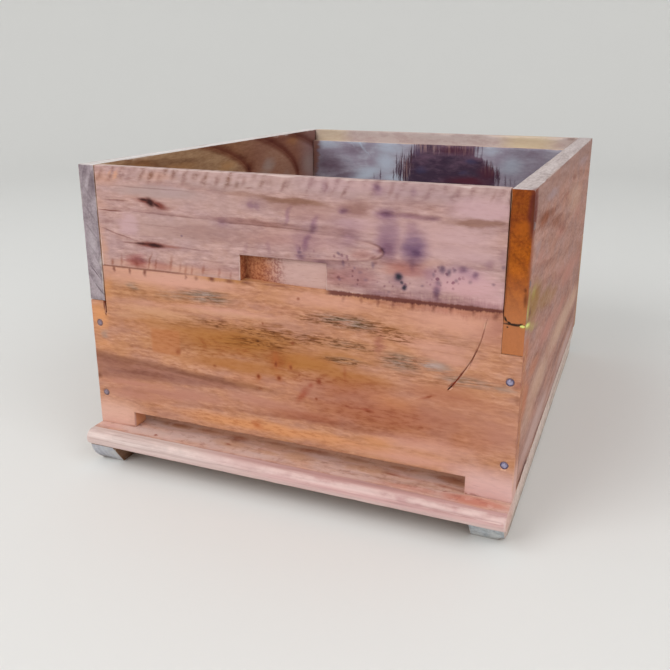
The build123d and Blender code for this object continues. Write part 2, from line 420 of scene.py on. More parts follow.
class BoardPaint(Wiring):
    """The colour of one kind of board, in its own millimetres: along, inward from its face, and up."""

    drift_stretch = 3.0
    fray_stretch = 2.0
    wood_specular = 0.2
    wood_relief = 0.4 * mm

    def __init__(self, name, turn, shift):
        self.material = bpy.data.materials.new(name)
        self.material.use_nodes = True
        super().__init__(self.material.node_tree)
        self.shader = self.tree.nodes["Principled BSDF"]
        source = self.tree.nodes.new("ShaderNodeTexCoord").outputs
        size = (millimetres, millimetres, millimetres)
        values = {"Vector": source["Object"], "Location": shift, "Rotation": turn, "Scale": size}
        self.place = self.node("ShaderNodeMapping", values).outputs[0]
        self.along, self.depth, self.up = self.parts(self.place)
        values = {"Vector": source["Normal"], "Rotation": turn}
        self.facing = self.node("ShaderNodeMapping", values, vector_type="NORMAL").outputs[0]
        ahead, inward, upward = self.parts(self.facing)
        self.on_face = self.fade(inward, -0.3, -0.7)
        self.on_reverse = self.fade(inward, 0.3, 0.7)
        self.on_edge = self.fade(self.maths("ABSOLUTE", upward), 0.5, 0.8)
        self.on_end = self.fade(self.maths("ABSOLUTE", ahead), 0.5, 0.8)
        self.slow_sway = self.sway((0.035, 0.11, 0.11))
        self.fine_sway = self.sway((0.28, 0.5, 0.5))

    def sway(self, scale):
        """Uneven pushes about zero, along and up the board."""
        uneven = self.noise(self.place, scale, detail=4.0, output=1)
        return self.vector("SUBTRACT", uneven, (0.5, 0.5, 0.5))

    def shaken(self, drift, fray):
        """The board's places, pushed about by a slow drift and a fine fray in millimetres."""
        slow = (self.drift_stretch * drift, 0.0, drift)
        fine = (self.fray_stretch * fray, 0.0, fray)
        place = self.vector("MULTIPLY_ADD", self.slow_sway, slow, self.place)
        return self.vector("MULTIPLY_ADD", self.fine_sway, fine, place)

    def overlap(self, *covers):
        """Where all of these covers lie; a number is a share of them."""
        return self.times(*covers)

    def patches(self, scale, low, high, **pattern):
        """Uneven patches, gone where their pattern is at low and full where it is at high."""
        return self.fade(self.noise(self.place, scale, **pattern), low, high)

    def spots(self, marks, core=0.1, drift=8.0, fray=1.0, depth=0.0, reach_in=6.0, end=None):
        """Where any of these marks lies: along, up, half length, half height, strength and, if any, lean.

        On a board's end, the first number is the depth instead, and end is the end's place along."""
        cover = None
        place = self.shaken(drift, fray)
        level, through = Vector((1, 0, 0)), Vector((0, 1, 0))
        if end is not None:
            level, through = through, level
        for first, up, half_length, half_height, strength, *lean in marks:
            turn = math.radians(lean[0] if lean else 0.0)
            across, rise = math.cos(turn), math.sin(turn)
            values = {
                "Place": place,
                "Centre": (first, depth, up) if end is None else (end, first, up),
                "Long Axis": (level * across + Vector((0, 0, rise))) / half_length,
                "Short Axis": (Vector((0, 0, across)) - level * rise) / half_height,
                "Through Axis": through / reach_in,
                "Core": core,
                "Strength": strength,
            }
            spot = self.use(stain_mark, values)["Cover"]
            cover = spot if cover is None else self.maths("MAXIMUM", cover, spot)
        return cover

    def above_line(self, up, start, finish):
        """How far a place is above the straight line between two points, each given along and up."""
        slope = (finish[1] - start[1]) / (finish[0] - start[0])
        return self.less(up, self.scaled(self.along, slope, start[1] - slope * start[0]))

    def wedge(self, start, finish, soft):
        """Between two straight lines that run from start to finish: along, underside and top."""
        up = self.parts(self.shaken(3.0, 0.8))["Z"]
        over = self.above_line(up, start[:2], finish[:2])
        under = self.above_line(up, start[::2], finish[::2])
        return self.overlap(self.fade(over, -soft, soft), self.fade(under, soft, -soft))

    def dots(self, pitch, share):
        """Round specks at an uneven pitch in millimetres, left out of all but a share of their places."""
        values = {"Vector": self.shaken(1.0, 1.0), "Scale": 1.0 / pitch}
        cells = self.node("ShaderNodeTexVoronoi", values).outputs
        kept = self.fade(self.parts(cells["Color"])["X"], 1.0 - share, 1.05 - share)
        return self.overlap(self.fade(cells["Distance"], 0.42, 0.2), kept)

    def tongue(self, tip, half_width, run, line, beside):
        values = {"Place": self.shaken(1.5, 0.4), "Tip": tip, "Half Width": half_width}
        values |= {"Run": run, "Line": line, "Beside": beside}
        return self.use(tongue_figure, values)

    def seam(self, level, above, below, soft):
        values = {"Place": self.place, "Level": level, "Above": above, "Below": below, "Soft": soft}
        return self.use(seam_stain, values)["Cover"]

    def lay(self, cover, tint, share=None, blend="MIX"):
        """Lays a tint over a cover, or over a share of it: a number, or another cover."""
        if share is not None:
            cover = self.overlap(cover, share)
        self.colour = self.mix(cover, self.colour, tint, blend)

    def darken(self, cover, tint, share=None):
        """Darkens by a tint, so that the grain still shows."""
        self.lay(cover, tint, share, "MULTIPLY")

    def wash(self, tint, marks, through=None, **shape):
        """Lays a tint over marks, or only over what shows of them through another cover."""
        self.lay(self.spots(marks, **shape), tint, through)

    def stain(self, tint, marks, through=None, **shape):
        """Darkens marks by a tint."""
        self.darken(self.spots(marks, **shape), tint, through)

    def lay_figure(self, shift, heart, tilt, ring_width, rings, streaks, flecks):
        values = {"Place": self.place, "Shift": shift, "Heart": heart, "Tilt": tilt}
        values |= {"Ring Width": ring_width, "Rings": rings, "Streaks": streaks, "Flecks": flecks}
        self.figure = self.use(wood_figure, values)

    def retone(self, cover, tones, share=None):
        """Lays a run of tones, pale to dark, that follows the figure."""
        self.lay(cover, self.ramp(self.figure["Tone"], tones), share)

    def lay_tones(self, face, reverse, ends, edges):
        """A run of tones for each way that the board's surfaces look."""
        self.colour = self.ramp(self.figure["Tone"], face)
        self.retone(self.on_reverse, reverse)
        self.retone(self.on_edge, edges)
        self.retone(self.on_end, ends)

    def blush(self, warm, cool, share):
        """Slow changes of hue: warmer in some places and cooler in others."""
        self.lay(self.fade(self.figure["Mottle"], 0.48, 0.66), warm, share)
        self.lay(self.fade(self.figure["Mottle"], 0.52, 0.34), cool, share)

    def surface(self, roughness, height, relief, relief_height):
        """Sends the laid colour, a gloss and a relief to the shader, and gives the finished material."""
        bump = self.node("ShaderNodeBump", {"Strength": relief, "Distance": relief_height, "Height": height})
        self.feed(self.shader.inputs["Base Color"], self.colour)
        self.feed(self.shader.inputs["Roughness"], roughness)
        self.feed(self.shader.inputs["Normal"], bump.outputs["Normal"])
        return self.material

    def finish(self, arris_tint, rough_low=0.55, rough_high=0.8, relief=0.25, kept=None):
        """Pores, worn arrises, gloss and relief over the laid colours; kept is where arrises stay dark."""
        pores = self.figure["Pores"]
        self.darken(pores, (205, 186, 176), 0.35)
        worn = self.use(edge_wear, {"Facing": self.facing})["Worn"]
        worn = self.overlap(worn, self.fade(self.figure["Mottle"], 0.4, 0.6))
        if kept is not None:
            worn = self.overlap(worn, self.less(1.0, kept))
        self.lay(worn, arris_tint, 0.5)
        self.shader.inputs["Specular IOR Level"].default_value = self.wood_specular
        values = {"Value": self.figure["Tone"], "To Min": rough_low, "To Max": rough_high}
        gloss = self.node("ShaderNodeMapRange", values).outputs["Result"]
        height = self.scaled(pores, -0.5, self.figure["Flecks"])
        return self.surface(gloss, height, relief, self.wood_relief)


# How each wall's paint lies: the turn of its frame, and the shift to its own corner in millimetres
upright = (0.0, 0.0, 0.0)
sideways = (0.0, 0.0, -math.pi / 2)
lying = (math.pi / 2, 0.0, 0.0)
no_shift = (0.0, 0.0, 0.0)
base_shift = -body_base * millimetres
front_shift = (0.0, -front_low.y * millimetres, base_shift)
back_shift = (0.0, -back_low.y * millimetres, base_shift)
right_shift = (-front_low.y * millimetres, right_high.x * millimetres, base_shift)
left_shift = (-front_low.y * millimetres, left_high.x * millimetres, base_shift)
floor_shift = (0.0, floor_high.z * millimetres, -front_low.y * millimetres)
runner_shift = (-floor_low.y * millimetres, runner_high.x * millimetres, 0.0)

# Reaches that two boards' paint shares, each from where it starts to where it is full
short_of_inside = (16.0, 13.0)
right_of_hold = (38.0, 46.0)
far_right = (50.0, 110.0)
left_of_hold = (-76.0, -116.0)

# Runs of tones that two boards share
weathered_end = ((229, 214, 206), (209, 190, 181), (176, 154, 146))
bare_tan = ((204, 160, 130), (180, 134, 106), (146, 102, 78))


def stained_front_upper():
    """Pink planed wood with two bark pockets, one tongue of figure, violet stains and mould specks."""
    p = BoardPaint("stained_front_upper", upright, front_shift)
    p.lay_figure(
        shift=(310.0, 20.0, 90.0), heart=(0.012, 70.0, 262.0), tilt=0.03, ring_width=8.5, rings=0.15,
        streaks=0.5, flecks=1.4,
    )
    p.lay_tones(
        face=((204, 169, 163), (175, 140, 134), (143, 105, 100)),
        reverse=((196, 164, 150), (172, 134, 118), (142, 104, 88)),
        ends=((190, 150, 128), (165, 120, 96), (130, 88, 66)),
        edges=((226, 206, 200), (208, 182, 174), (178, 146, 136)),
    )
    p.blush((186, 145, 130), (164, 134, 138), 0.35)
    grey_top = p.overlap(p.fade(p.up, 238.0, 250.0), p.fade(p.along, -175.0, -120.0))
    p.lay(grey_top, (178, 152, 150), 0.5)
    lilac = (
        (-156, 206, 16, 14, 0.8), (150, 186, 40, 14, 0.5), (168, 241, 36, 14, 0.7),
        (-106, 238, 18, 5, 0.6), (60, 253, 60, 7, 0.3), (70, 222, 24, 7, 0.35),
        (150, 218, 34, 9, 0.5, -2), (152, 205, 36, 9, 0.45),
    )
    p.wash((192, 157, 162), lilac, core=0.3)
    orange = (
        (-190, 182, 12, 34, 0.7), (-164, 250, 10, 3.4, 1.0, 54), (-180, 246, 24, 10, 0.5),
        (-122, 250, 26, 8, 0.4), (-186, 221, 16, 10, 0.3), (100, 187, 20, 7, 0.5),
        (-115, 168, 95, 7, 0.7), (-170, 252, 6, 2.6, 0.7, 56), (130, 196, 20, 5, 0.3),
    )
    p.wash((196, 147, 124), orange)
    quiet_left = ((-100, 206, 90, 18, 0.55), (-60, 232, 110, 12, 0.4), (-150, 238, 50, 10, 0.4))
    p.wash((174, 144, 139), quiet_left, core=0.3)
    ashen = ((-120, 237, 60, 8, 0.7), (-60, 246, 60, 6, 0.3))
    p.wash((163, 140, 137), ashen, core=0.3)
    quiet_right = (
        (130, 215, 80, 28, 0.55), (60, 226, 70, 16, 0.4), (120, 180, 76, 14, 0.45),
        (20, 204, 60, 14, 0.3),
    )
    p.wash((187, 151, 150), quiet_right, core=0.3)
    fresh_pink = ((160, 181, 40, 14, 0.75), (180, 172, 24, 10, 0.6))
    p.wash((200, 157, 160), fresh_pink, core=0.3)
    dull_brown = ((10, 236, 50, 7, 0.5, -2), (66, 234.5, 22, 9, 0.6), (36, 233, 30, 6, 0.4))
    p.wash((154, 116, 106), dull_brown, core=0.2)
    ochre = (
        (10, 237.4, 48, 4.6, 1.0, -2.5), (166, 230.2, 34, 4.6, 1.0, 1), (-40, 241, 34, 3, 0.5, -2),
        (0, 239.8, 44, 1.8, 0.8, -1), (120, 232.4, 40, 3.4, 0.5, -2), (168, 231.6, 30, 1.6, 0.6, 1),
    )
    p.stain((208, 192, 176), ochre, core=0.3, fray=1.2)
    rose = (
        (68, 234.5, 18, 9, 0.7), (-25, 217, 80, 4.2, 1.0, -1.5), (28, 226, 36, 6, 0.5),
        (46, 215, 30, 6, 0.5), (-130, 219, 70, 3, 0.5, -1), (-60, 204, 90, 11, 0.6),
        (10, 232, 40, 5, 0.5), (-90, 244, 60, 4, 0.4), (120, 241, 50, 5, 0.4),
    )
    p.stain((218, 202, 200), rose, core=0.3)
    mauve = (
        (64, 178, 30, 14, 0.9), (108, 192, 28, 9, 0.6), (-150, 172, 17, 8, 1.0, 8),
        (-124, 170, 16, 7, 0.8), (140, 176, 46, 12, 0.15), (-60, 172, 46, 7, 0.35),
        (20, 205, 56, 10, 0.35),
    )
    p.stain((226, 202, 206), mauve, core=0.3)
    flushed = (
        (112, 189, 30, 9, 0.7), (74, 198, 12, 6, 0.5), (44, 176, 20, 9, 0.4),
        (-150, 172, 17, 8, 1.0, 10),
    )
    p.stain((230, 196, 194), flushed, core=0.3)
    veined = p.patches((0.02, 0.2, 0.12), 0.12, 0.5)
    violet_haze = (
        (95, 212, 18, 28, 0.9), (116, 208, 18, 22, 1.0), (60, 216, 26, 20, 0.5),
        (22, 206, 18, 26, 0.5, -20), (-26, 232, 18, 9, 0.4, 8), (110, 250, 60, 10, 0.3),
        (150, 190, 36, 12, 0.3), (130, 176, 16, 16, 0.3), (86, 172, 22, 10, 0.2),
        (-57, 214, 16, 7, 0.3), (36, 190, 30, 10, 0.3), (-10, 196, 22, 9, 0.2),
    )
    p.stain((214, 204, 224), violet_haze, through=veined, core=0.2, drift=3.0)
    blue_violet = ((116, 206, 15, 19, 0.9), (118, 203, 9, 9, 0.4), (95, 219, 13, 18, 0.3))
    p.stain((200, 198, 228), blue_violet, through=veined, core=0.2, drift=3.0, fray=1.2)
    violet = (
        (93, 232, 15, 7.5, 1.0), (114, 232, 32, 4, 0.8, -2), (93, 205, 14, 14, 0.75),
        (117, 203, 10, 11, 0.35), (113, 224, 9, 8, 0.4), (56, 233.5, 9, 6, 0.7),
        (-28, 232, 5, 6, 0.6, -20), (-22, 231, 4, 6, 0.5, 20), (6, 225, 4, 14, 0.7, -14),
        (30, 219, 5, 13, 0.8, -20), (23, 204, 5, 14, 0.8, -24), (16, 196, 4, 9, 0.6, 24),
        (18, 191, 8, 6, 0.7), (-57, 215, 8, 6, 0.5), (62, 211, 12, 10, 0.5), (130, 187, 10, 7, 0.5),
        (157, 193, 11, 7, 0.5), (136, 174, 5, 14, 0.7), (36, 188, 11, 5, 0.6), (56, 192, 8, 8, 0.5),
        (86, 168, 14, 7, 0.4), (84, 251, 8, 9, 0.6), (114, 250, 5, 7, 0.5), (176, 199, 6, 6, 0.5),
        (-12, 197, 4, 8, 0.4), (-34, 194, 4, 9, 0.3, -10), (40, 250, 6, 7, 0.4), (165, 189, 8, 6, 0.5),
        (186, 206, 5, 10, 0.3),
    )
    p.stain((202, 184, 214), violet, through=veined, drift=3.0, fray=1.2)
    deep_violet = (
        (118, 203, 5.6, 5, 0.7), (93, 233, 10, 4.5, 0.7), (97, 202, 9, 9, 0.25), (84, 253, 6, 4, 0.6),
        (55, 232.5, 7, 3, 0.7, 20), (136, 171, 3.6, 8, 0.7), (18, 191, 5, 4, 0.6),
        (91, 202, 4, 5, 0.7), (115, 193, 4, 10, 0.4), (132, 231.6, 10, 3.2, 0.6),
        (155, 193, 5, 4, 0.6, 20), (166, 190, 4, 4, 0.6), (103, 178, 12, 11, 0.5),
        (-25, 231, 4, 3, 0.4, 20), (28, 215, 4, 5, 0.5, -20), (35, 188, 6, 3, 0.5),
        (140, 191, 6, 5, 0.4),
    )
    p.stain((176, 154, 186), deep_violet, core=0.0, drift=3.0, fray=1.2)
    grain_lines = (
        (-174, 217.4, 20, 1.0, 0.9), (-112, 217.4, 60, 1.2, 0.4, -1.2), (-15, 214.6, 66, 1.2, 0.5, -1),
        (-168, 196, 28, 1.0, 0.6, -14), (-166, 227.2, 18, 1.0, 0.6), (-156, 188.6, 14, 1.0, 0.7),
        (-92, 188.2, 30, 0.9, 0.35), (-5, 187.4, 40, 1.0, 0.7), (-60, 179, 44, 1.0, 0.25),
        (-130, 207, 50, 1.0, 0.2, -1), (-130, 240, 60, 1.0, 0.35, -1), (-20, 195, 50, 1.0, 0.2),
    )
    p.stain((176, 138, 130), grain_lines, core=0.3, drift=2.5, fray=0.5)
    loop = p.tongue((90.5, 0.0, 201.0), 11.5, 24.0, 1.7, 7.0)
    by_tip = ((80, 201, 22, 14, 0.9), (44, 190, 44, 6, 0.7, 6), (20, 203, 90, 22, 0.3))
    near_tip = p.spots(by_tip, core=0.3, drift=2.0)
    p.lay(p.overlap(loop["Within"], near_tip), (196, 156, 149), 0.6)
    p.darken(p.overlap(loop["Line"], near_tip), (170, 134, 130), 0.7)
    tip_dirt = ((88.5, 202.5, 5, 3.4, 0.9, 24), (82, 196.5, 5, 1.8, 0.7, 20), (84, 192, 4, 3, 0.5, 40))
    p.stain((172, 130, 140), tip_dirt, core=0.0, drift=1.0)
    nicks = p.use(cutter_chatter, {"Place": p.place, "Pitch": 11.0, "Slant": -0.55})["Nicks"]
    top_strip = p.fade(p.up, 241.0, 249.0)
    brown_strip = p.overlap(top_strip, p.fade(p.along, 20.0, -20.0))
    p.darken(p.overlap(nicks, brown_strip), (184, 156, 138), 0.9)
    violet_strip = p.overlap(top_strip, p.fade(p.along, -20.0, 30.0))
    p.darken(p.overlap(nicks, violet_strip), (194, 170, 174), 0.7)
    tears = (
        (-119, 251, 8, 3.4, 0.35, 60), (-94, 249, 9, 4, 0.5, 62), (-74, 250, 8, 3.2, 0.4, 60),
        (-60, 250, 8, 4, 0.5, 64), (-35, 251, 9, 3.6, 0.45, 62), (-11, 252, 8, 3.4, 0.35, 58),
        (3, 250, 7, 2.4, 0.4, 64), (41, 251, 8, 2.4, 0.5, 64), (56, 247, 7, 2.4, 0.5, 60),
        (96, 251, 9, 3, 0.4, 62), (176, 251, 7, 2, 0.4, 64), (-104, 253, 5, 2.2, 0.5, 66),
        (-92, 246.6, 9, 2, 0.4, 4), (-70, 247.2, 9, 1.8, 0.4, 4), (-48, 247.4, 9, 2, 0.4, 4),
        (-30, 246, 6, 1.2, 0.6, 4), (-150, 248, 10, 1.6, 0.4, 10), (150, 250, 14, 2, 0.3, 4),
    )
    p.stain((190, 158, 148), tears, core=0.0, drift=2.0, fray=1.2)
    bark_halo = (
        (-133, 227.8, 24, 3, 0.9, -6), (-120, 225.2, 15, 5.4, 0.9, -16),
        (-130, 227.4, 13, 6.5, 0.9, -10), (-130, 188.4, 28, 4, 0.9), (-112, 188.6, 18, 2.4, 0.8),
    )
    p.wash((146, 94, 84), bark_halo, drift=1.5)
    bark = (
        (-132, 228.4, 15, 3.8, 1.0, -8), (-121, 225.4, 12, 4.2, 0.95, -18),
        (-131, 188.5, 22, 4.2, 1.0),
    )
    p.wash((112, 54, 46), bark, core=0.2, drift=1.5)
    bark_core = (
        (-130, 227.4, 7.5, 5, 1.0, -40), (-136, 229.4, 9, 1.7, 0.9, -5),
        (-124, 225.6, 7, 1.7, 0.8, -24), (-128, 188.4, 13, 2.8, 1.0, -2), (-142, 188.8, 11, 1.6, 0.8),
    )
    p.wash((50, 18, 17), bark_core, core=0.2, drift=1.0)
    seam_ticks = (
        (-177, 168, 3, 6, 0.8), (-166, 171, 2.4, 10, 0.7, -8), (-150, 169, 4, 7, 0.6),
        (-135, 173, 2, 13, 0.9, -22), (-128, 171, 2, 9, 0.7, -18), (-112, 173, 2.6, 12, 0.7, -16),
        (-97, 168, 2.6, 7, 0.6, -8), (-90, 168, 2.2, 7, 0.6, -10), (-78, 170, 2.6, 9, 0.7, -14),
        (-62, 169, 2.6, 7, 0.6, -10), (-50, 168, 2, 6, 0.5, -8), (-103, 170, 2, 8, 0.5, -14),
    )
    p.stain((206, 168, 150), seam_ticks, core=0.0, drift=2.0, fray=0.8)
    pepper = p.dots(4.4, 0.55)
    peppered = (
        (68, 178, 30, 14, 1.0), (141, 185, 22, 14, 1.0), (100, 174, 26, 10, 0.9),
        (55, 195, 18, 11, 0.7), (20, 196, 20, 8, 0.5),
    )
    p.stain((188, 160, 178), peppered, through=pepper, core=0.3, drift=3.0)
    specks = (
        (104, 182.5, 6.4, 6.6, 1.0, 30), (106.8, 178, 4, 3, 0.8, -50), (108.8, 174, 4, 4.6, 1.0, -20),
        (139.5, 192, 4, 6, 0.9, 10), (145, 190, 3.4, 5.4, 0.9, -20), (157, 194, 4.4, 4, 0.35),
        (166, 190, 4, 3.6, 0.35), (149, 192, 3, 3, 0.6), (137, 181, 3.6, 4, 0.6),
        (136, 174, 3.6, 5, 0.6), (187, 198, 2.8, 3, 0.6), (52, 197, 3.4, 2, 0.8, -30),
        (56, 189, 2, 4.4, 0.6, 8), (138, 180.5, 3, 3.4, 0.6), (124, 177, 2.4, 1.8, 0.6),
        (151, 184, 2.6, 2.8, 0.6), (17, 195, 3.2, 2.2, 0.7), (133, 187, 2.4, 3.2, 0.6),
        (82, 190, 2.4, 4.4, 0.7), (-99, 199.5, 2.2, 1.7, 0.8), (66, 186, 2, 1.9, 0.6),
        (96, 169, 2.6, 2.2, 0.5), (162, 184, 3, 2.6, 0.5), (71, 183, 3.4, 2.4, 0.5),
        (76, 177, 3, 2.2, 0.5), (53, 175, 2.4, 2, 0.6), (180, 184, 2.4, 2, 0.6),
    )
    p.wash((106, 80, 95), specks, core=0.0, drift=0.8, fray=0.9)
    black_core = (
        (104, 182.5, 4.6, 4.8, 1.0, 30), (106.8, 178, 2.4, 1.8, 0.7, -50),
        (108.8, 174, 2.6, 3.2, 1.0, -20),
    )
    p.wash((44, 40, 50), black_core, drift=0.8, fray=1.2)
    in_hold = p.overlap(
        p.fade(p.depth, 0.4, 1.4), p.fade(p.depth, 14.0, 12.5), p.fade(p.along, -43.0, -41.5),
        p.fade(p.along, 42.5, 41.2), p.fade(p.up, 190.0, 188.0),
    )
    p.lay(in_hold, (194, 158, 150), 0.7)
    in_shade = p.parts(p.shaken(4.0, 3.0))["X"]
    p.lay(p.overlap(in_hold, p.fade(in_shade, 2.0, -26.0)), (180, 117, 81))
    hold_speckle = p.overlap(p.patches((0.4, 0.4, 0.4), 0.4, 0.6), p.fade(p.along, 6.0, -8.0))
    p.darken(p.overlap(in_hold, hold_speckle), (192, 156, 156), 0.8)
    right_seam = p.overlap(
        p.seam(163.6, 1.6, 4.0, 0.9), p.fade(p.along, *right_of_hold), p.fade(p.depth, *short_of_inside),
    )
    seam_haze = p.overlap(p.seam(164.0, 6.0, 4.0, 4.0), p.fade(p.along, *far_right))
    p.darken(seam_haze, (184, 146, 164), 0.6)
    p.lay(right_seam, (104, 54, 50), 0.9)
    left_seam = p.overlap(p.seam(165.0, 0.5, 2.0, 0.6), p.fade(p.along, *left_of_hold))
    p.lay(left_seam, (120, 72, 58), 0.8)
    return p.finish((230, 210, 204), kept=p.fade(p.along, 178.0, 186.0))


def weathered_front_lower():
    """Orange tan planed wood, streaked with grey weather and a mauve heart band, its tongues brighter."""
    p = BoardPaint("weathered_front_lower", upright, front_shift)
    p.lay_figure(
        shift=(40.0, 10.0, 30.0), heart=(-0.02, 60.0, 30.0), tilt=0.04, ring_width=7.0, rings=0.2,
        streaks=0.7, flecks=1.5,
    )
    p.lay_tones(
        face=((208, 156, 127), (182, 128, 99), (148, 95, 68)),
        reverse=((200, 152, 124), (172, 122, 96), (138, 92, 68)),
        ends=((198, 138, 104), (172, 110, 80), (138, 80, 58)),
        edges=((214, 166, 132), (194, 140, 102), (160, 106, 72)),
    )
    p.blush((186, 130, 88), (172, 126, 112), 0.45)
    salmon = (
        (150, 150, 70, 18, 0.75), (40, 154, 70, 12, 0.6), (-112, 157, 100, 12, 0.9),
        (130, 38, 70, 12, 0.7), (120, 23, 80, 9, 0.8), (130, 128, 60, 7, 0.6, -4),
        (150, 118, 46, 6, 0.5, -6), (-60, 134, 90, 5, 0.6), (-150, 132, 50, 5, 0.5),
    )
    p.wash((205, 151, 133), salmon)
    lilac = (
        (180, 146, 16, 22, 0.7), (-120, 44, 100, 10, 0.9, 2), (-20, 52, 70, 9, 0.8, -3),
        (-160, 36, 56, 10, 0.8), (-165, 48, 70, 7, 0.9, 2), (192, 60, 34, 30, 0.5),
        (150, 70, 40, 12, 0.3),
    )
    p.wash((178, 123, 105), lilac)
    gold = (
        (-60, 104, 110, 22, 0.9), (20, 97, 70, 16, 0.9, -2), (-150, 112, 60, 12, 0.3),
        (60, 88, 60, 14, 0.9), (-40, 84, 90, 12, 0.8), (10, 94, 40, 10, 0.6),
    )
    p.wash((168, 107, 55), gold, core=0.2)
    ruddy = (
        (90, 66, 150, 34, 0.5), (150, 84, 70, 20, 0.5, -6), (20, 46, 90, 10, 0.5, 2),
        (165, 62, 60, 26, 0.4),
    )
    p.wash((173, 113, 90), ruddy, core=0.2)
    deep_gold = (
        (-60, 110, 90, 12, 0.5, -2), (-20, 116, 80, 9, 0.5, -2), (10, 94, 60, 9, 0.6),
        (60, 106, 50, 7, 0.5),
    )
    p.wash((167, 109, 54), deep_gold, core=0.2)
    orange = (
        (-199, 112, 12, 22, 0.8), (-10, 27, 160, 9, 0.8), (-29, 28, 15, 9, 0.7),
        (-186, 140, 10, 20, 0.5), (-195, 84, 14, 10, 0.4), (110, 30, 60, 8, 0.15),
        (100, 72, 26, 12, 0.3), (88, 33, 26, 8, 0.5),
    )
    p.wash((210, 145, 97), orange)
    parched = (
        (-130, 124, 70, 8, 0.7, -1), (-60, 131, 80, 4, 0.5), (-160, 118, 36, 5, 0.5),
        (-150, 150, 50, 8, 0.4),
    )
    p.wash((200, 150, 121), parched, core=0.2)
    olive = (
        (-165, 140, 70, 16, 0.7), (-110, 118, 110, 12, 0.4, -2), (-30, 108, 60, 12, 0.8),
        (-120, 96, 90, 14, 0.4),
    )
    p.stain((240, 236, 212), olive, core=0.2)
    patch = p.overlap(
        p.fade(p.along, -141.0, -137.0), p.fade(p.along, -106.0, -109.0),
        p.wedge((-140, 84, 108), (-108, 84, 108), 2.0),
    )
    p.lay(patch, (178, 112, 70), 0.7)
    legs = p.overlap(p.fade(p.up, 36.0, 12.0), p.fade(p.maths("ABSOLUTE", p.along), 140.0, 178.0))
    p.lay(legs, p.mix(p.fade(p.along, -40.0, 40.0), (223, 181, 168), (222, 186, 186)), 0.68)
    russet = (
        (90, 58, 110, 26, 0.8), (60, 76, 70, 16, 0.6), (-29, 28, 9, 6, 1.0), (30, 45, 60, 8, 0.8, 3),
        (-6, 94, 16, 12, 0.9), (150, 86, 46, 10, 0.4), (160, 48, 46, 12, 0.5), (-30, 72, 56, 8, 0.4),
    )
    p.stain((226, 196, 180), russet)
    fleck_rows = p.fade(p.figure["Flecks"], 0.46, 0.64)
    rusty = (
        (-30, 27, 150, 8, 0.5), (80, 56, 100, 22, 0.4), (40, 84, 90, 16, 0.6),
        (-110, 66, 100, 18, 0.3), (-60, 100, 120, 20, 0.6),
    )
    p.stain((218, 188, 168), rusty, through=fleck_rows)
    heart = p.overlap(p.wedge((-206, 49, 76), (-20, 61, 66), 3.0), p.fade(p.along, 6.0, -70.0))
    p.lay(heart, (176, 126, 110), 0.45)
    p.darken(heart, (214, 203, 206), 0.85)
    heart_core = ((-150, 60, 60, 6, 0.9, 2), (-190, 68, 40, 6, 0.5, -4), (-90, 66, 60, 3.4, 0.6, -3))
    p.stain((218, 206, 204), heart_core, drift=4.0)
    olive_edge = p.overlap(p.wedge((-120, 66, 72), (-20, 62, 66.5), 1.6), p.fade(p.along, 6.0, -30.0))
    p.darken(olive_edge, (206, 190, 150), 0.4)
    low_shade = ((-40, 39, 140, 3.6, 0.4, 3), (60, 42, 70, 5, 0.6), (-150, 41, 60, 4, 0.25, 4))
    p.stain((206, 180, 172), low_shade)
    worn_grey = p.patches((0.045, 0.42, 0.42), 0.34, 0.56)
    grey = (
        (60, 138.5, 34, 8, 1.0, -3), (136, 110.5, 22, 8, 0.9, -2), (108, 110, 24, 12, 0.85, -2),
        (-78, 145.5, 38, 9, 0.95, -2), (164, 101, 36, 7, 0.75, -2), (-156, 147, 10, 6, 0.7),
        (194, 99, 16, 5, 0.6), (58, 104, 26, 4, 0.5), (-110, 143, 30, 6, 0.5), (-193, 95, 7, 6, 0.6),
        (60, 118, 30, 5, 0.4),
    )
    p.wash((150, 128, 116), grey, through=worn_grey, core=0.15, drift=6.0)
    pale_grey = ((62, 139, 10, 3.6, 0.5), (136, 111, 12, 5, 0.7), (-82, 147, 14, 3, 0.3))
    p.wash((190, 164, 158), pale_grey, through=worn_grey, core=0.0, drift=6.0)
    dashes = p.patches((0.055, 0.62, 0.62), 0.44, 0.62)
    weather = (
        (60, 138, 66, 10, 1.0, -2), (30, 138, 26, 8, 0.9), (95, 134, 34, 9, 1.0, -8),
        (8, 119, 110, 8, 1.0, -2), (-60, 121, 70, 6, 0.9, -2), (-20, 109, 50, 6, 1.0),
        (58, 103, 36, 5, 1.0, -1), (60, 118, 40, 7, 0.9, -2), (104, 110, 30, 11, 0.8, -2),
        (-76, 146, 44, 10, 0.8, -2), (160, 101, 44, 7, 0.7, -3), (-156, 147, 10, 7, 0.8),
        (-10, 126, 80, 4, 0.7), (-120, 140, 70, 7, 0.6, -1), (8, 113, 9, 6, 0.8),
        (-30, 104, 80, 5, 0.6), (130, 98, 50, 7, 0.6, -2), (-100, 117, 70, 6, 0.6),
        (140, 134, 50, 8, 0.5, -3), (-60, 96, 90, 8, 0.4),
    )
    p.stain((196, 178, 146), weather, through=dashes, core=0.3, drift=6.0)
    ink = p.patches((0.13, 0.7, 0.7), 0.46, 0.62)
    inky = (
        (62, 138, 56, 9, 1.0, -2), (96, 133, 34, 9, 1.0, -8), (-10, 118, 70, 7, 1.0, -3),
        (-78, 145, 34, 8, 0.6, -2), (58, 103, 34, 4, 1.0, -1), (-24, 109, 36, 5, 1.0),
        (50, 119, 60, 7, 0.9, -3), (-70, 121, 30, 5, 0.8, -2), (24, 138, 16, 7, 0.9),
        (112, 110, 34, 10, 0.7, -2),
    )
    p.stain((176, 156, 132), inky, through=ink, core=0.3, drift=5.0, fray=1.2)
    violet = ((88, 123, 7, 15, 0.8, -6), (203, 104, 5, 6, 0.7), (-10, 142, 46, 5, 0.3))
    p.stain((220, 196, 210), violet, core=0.0)
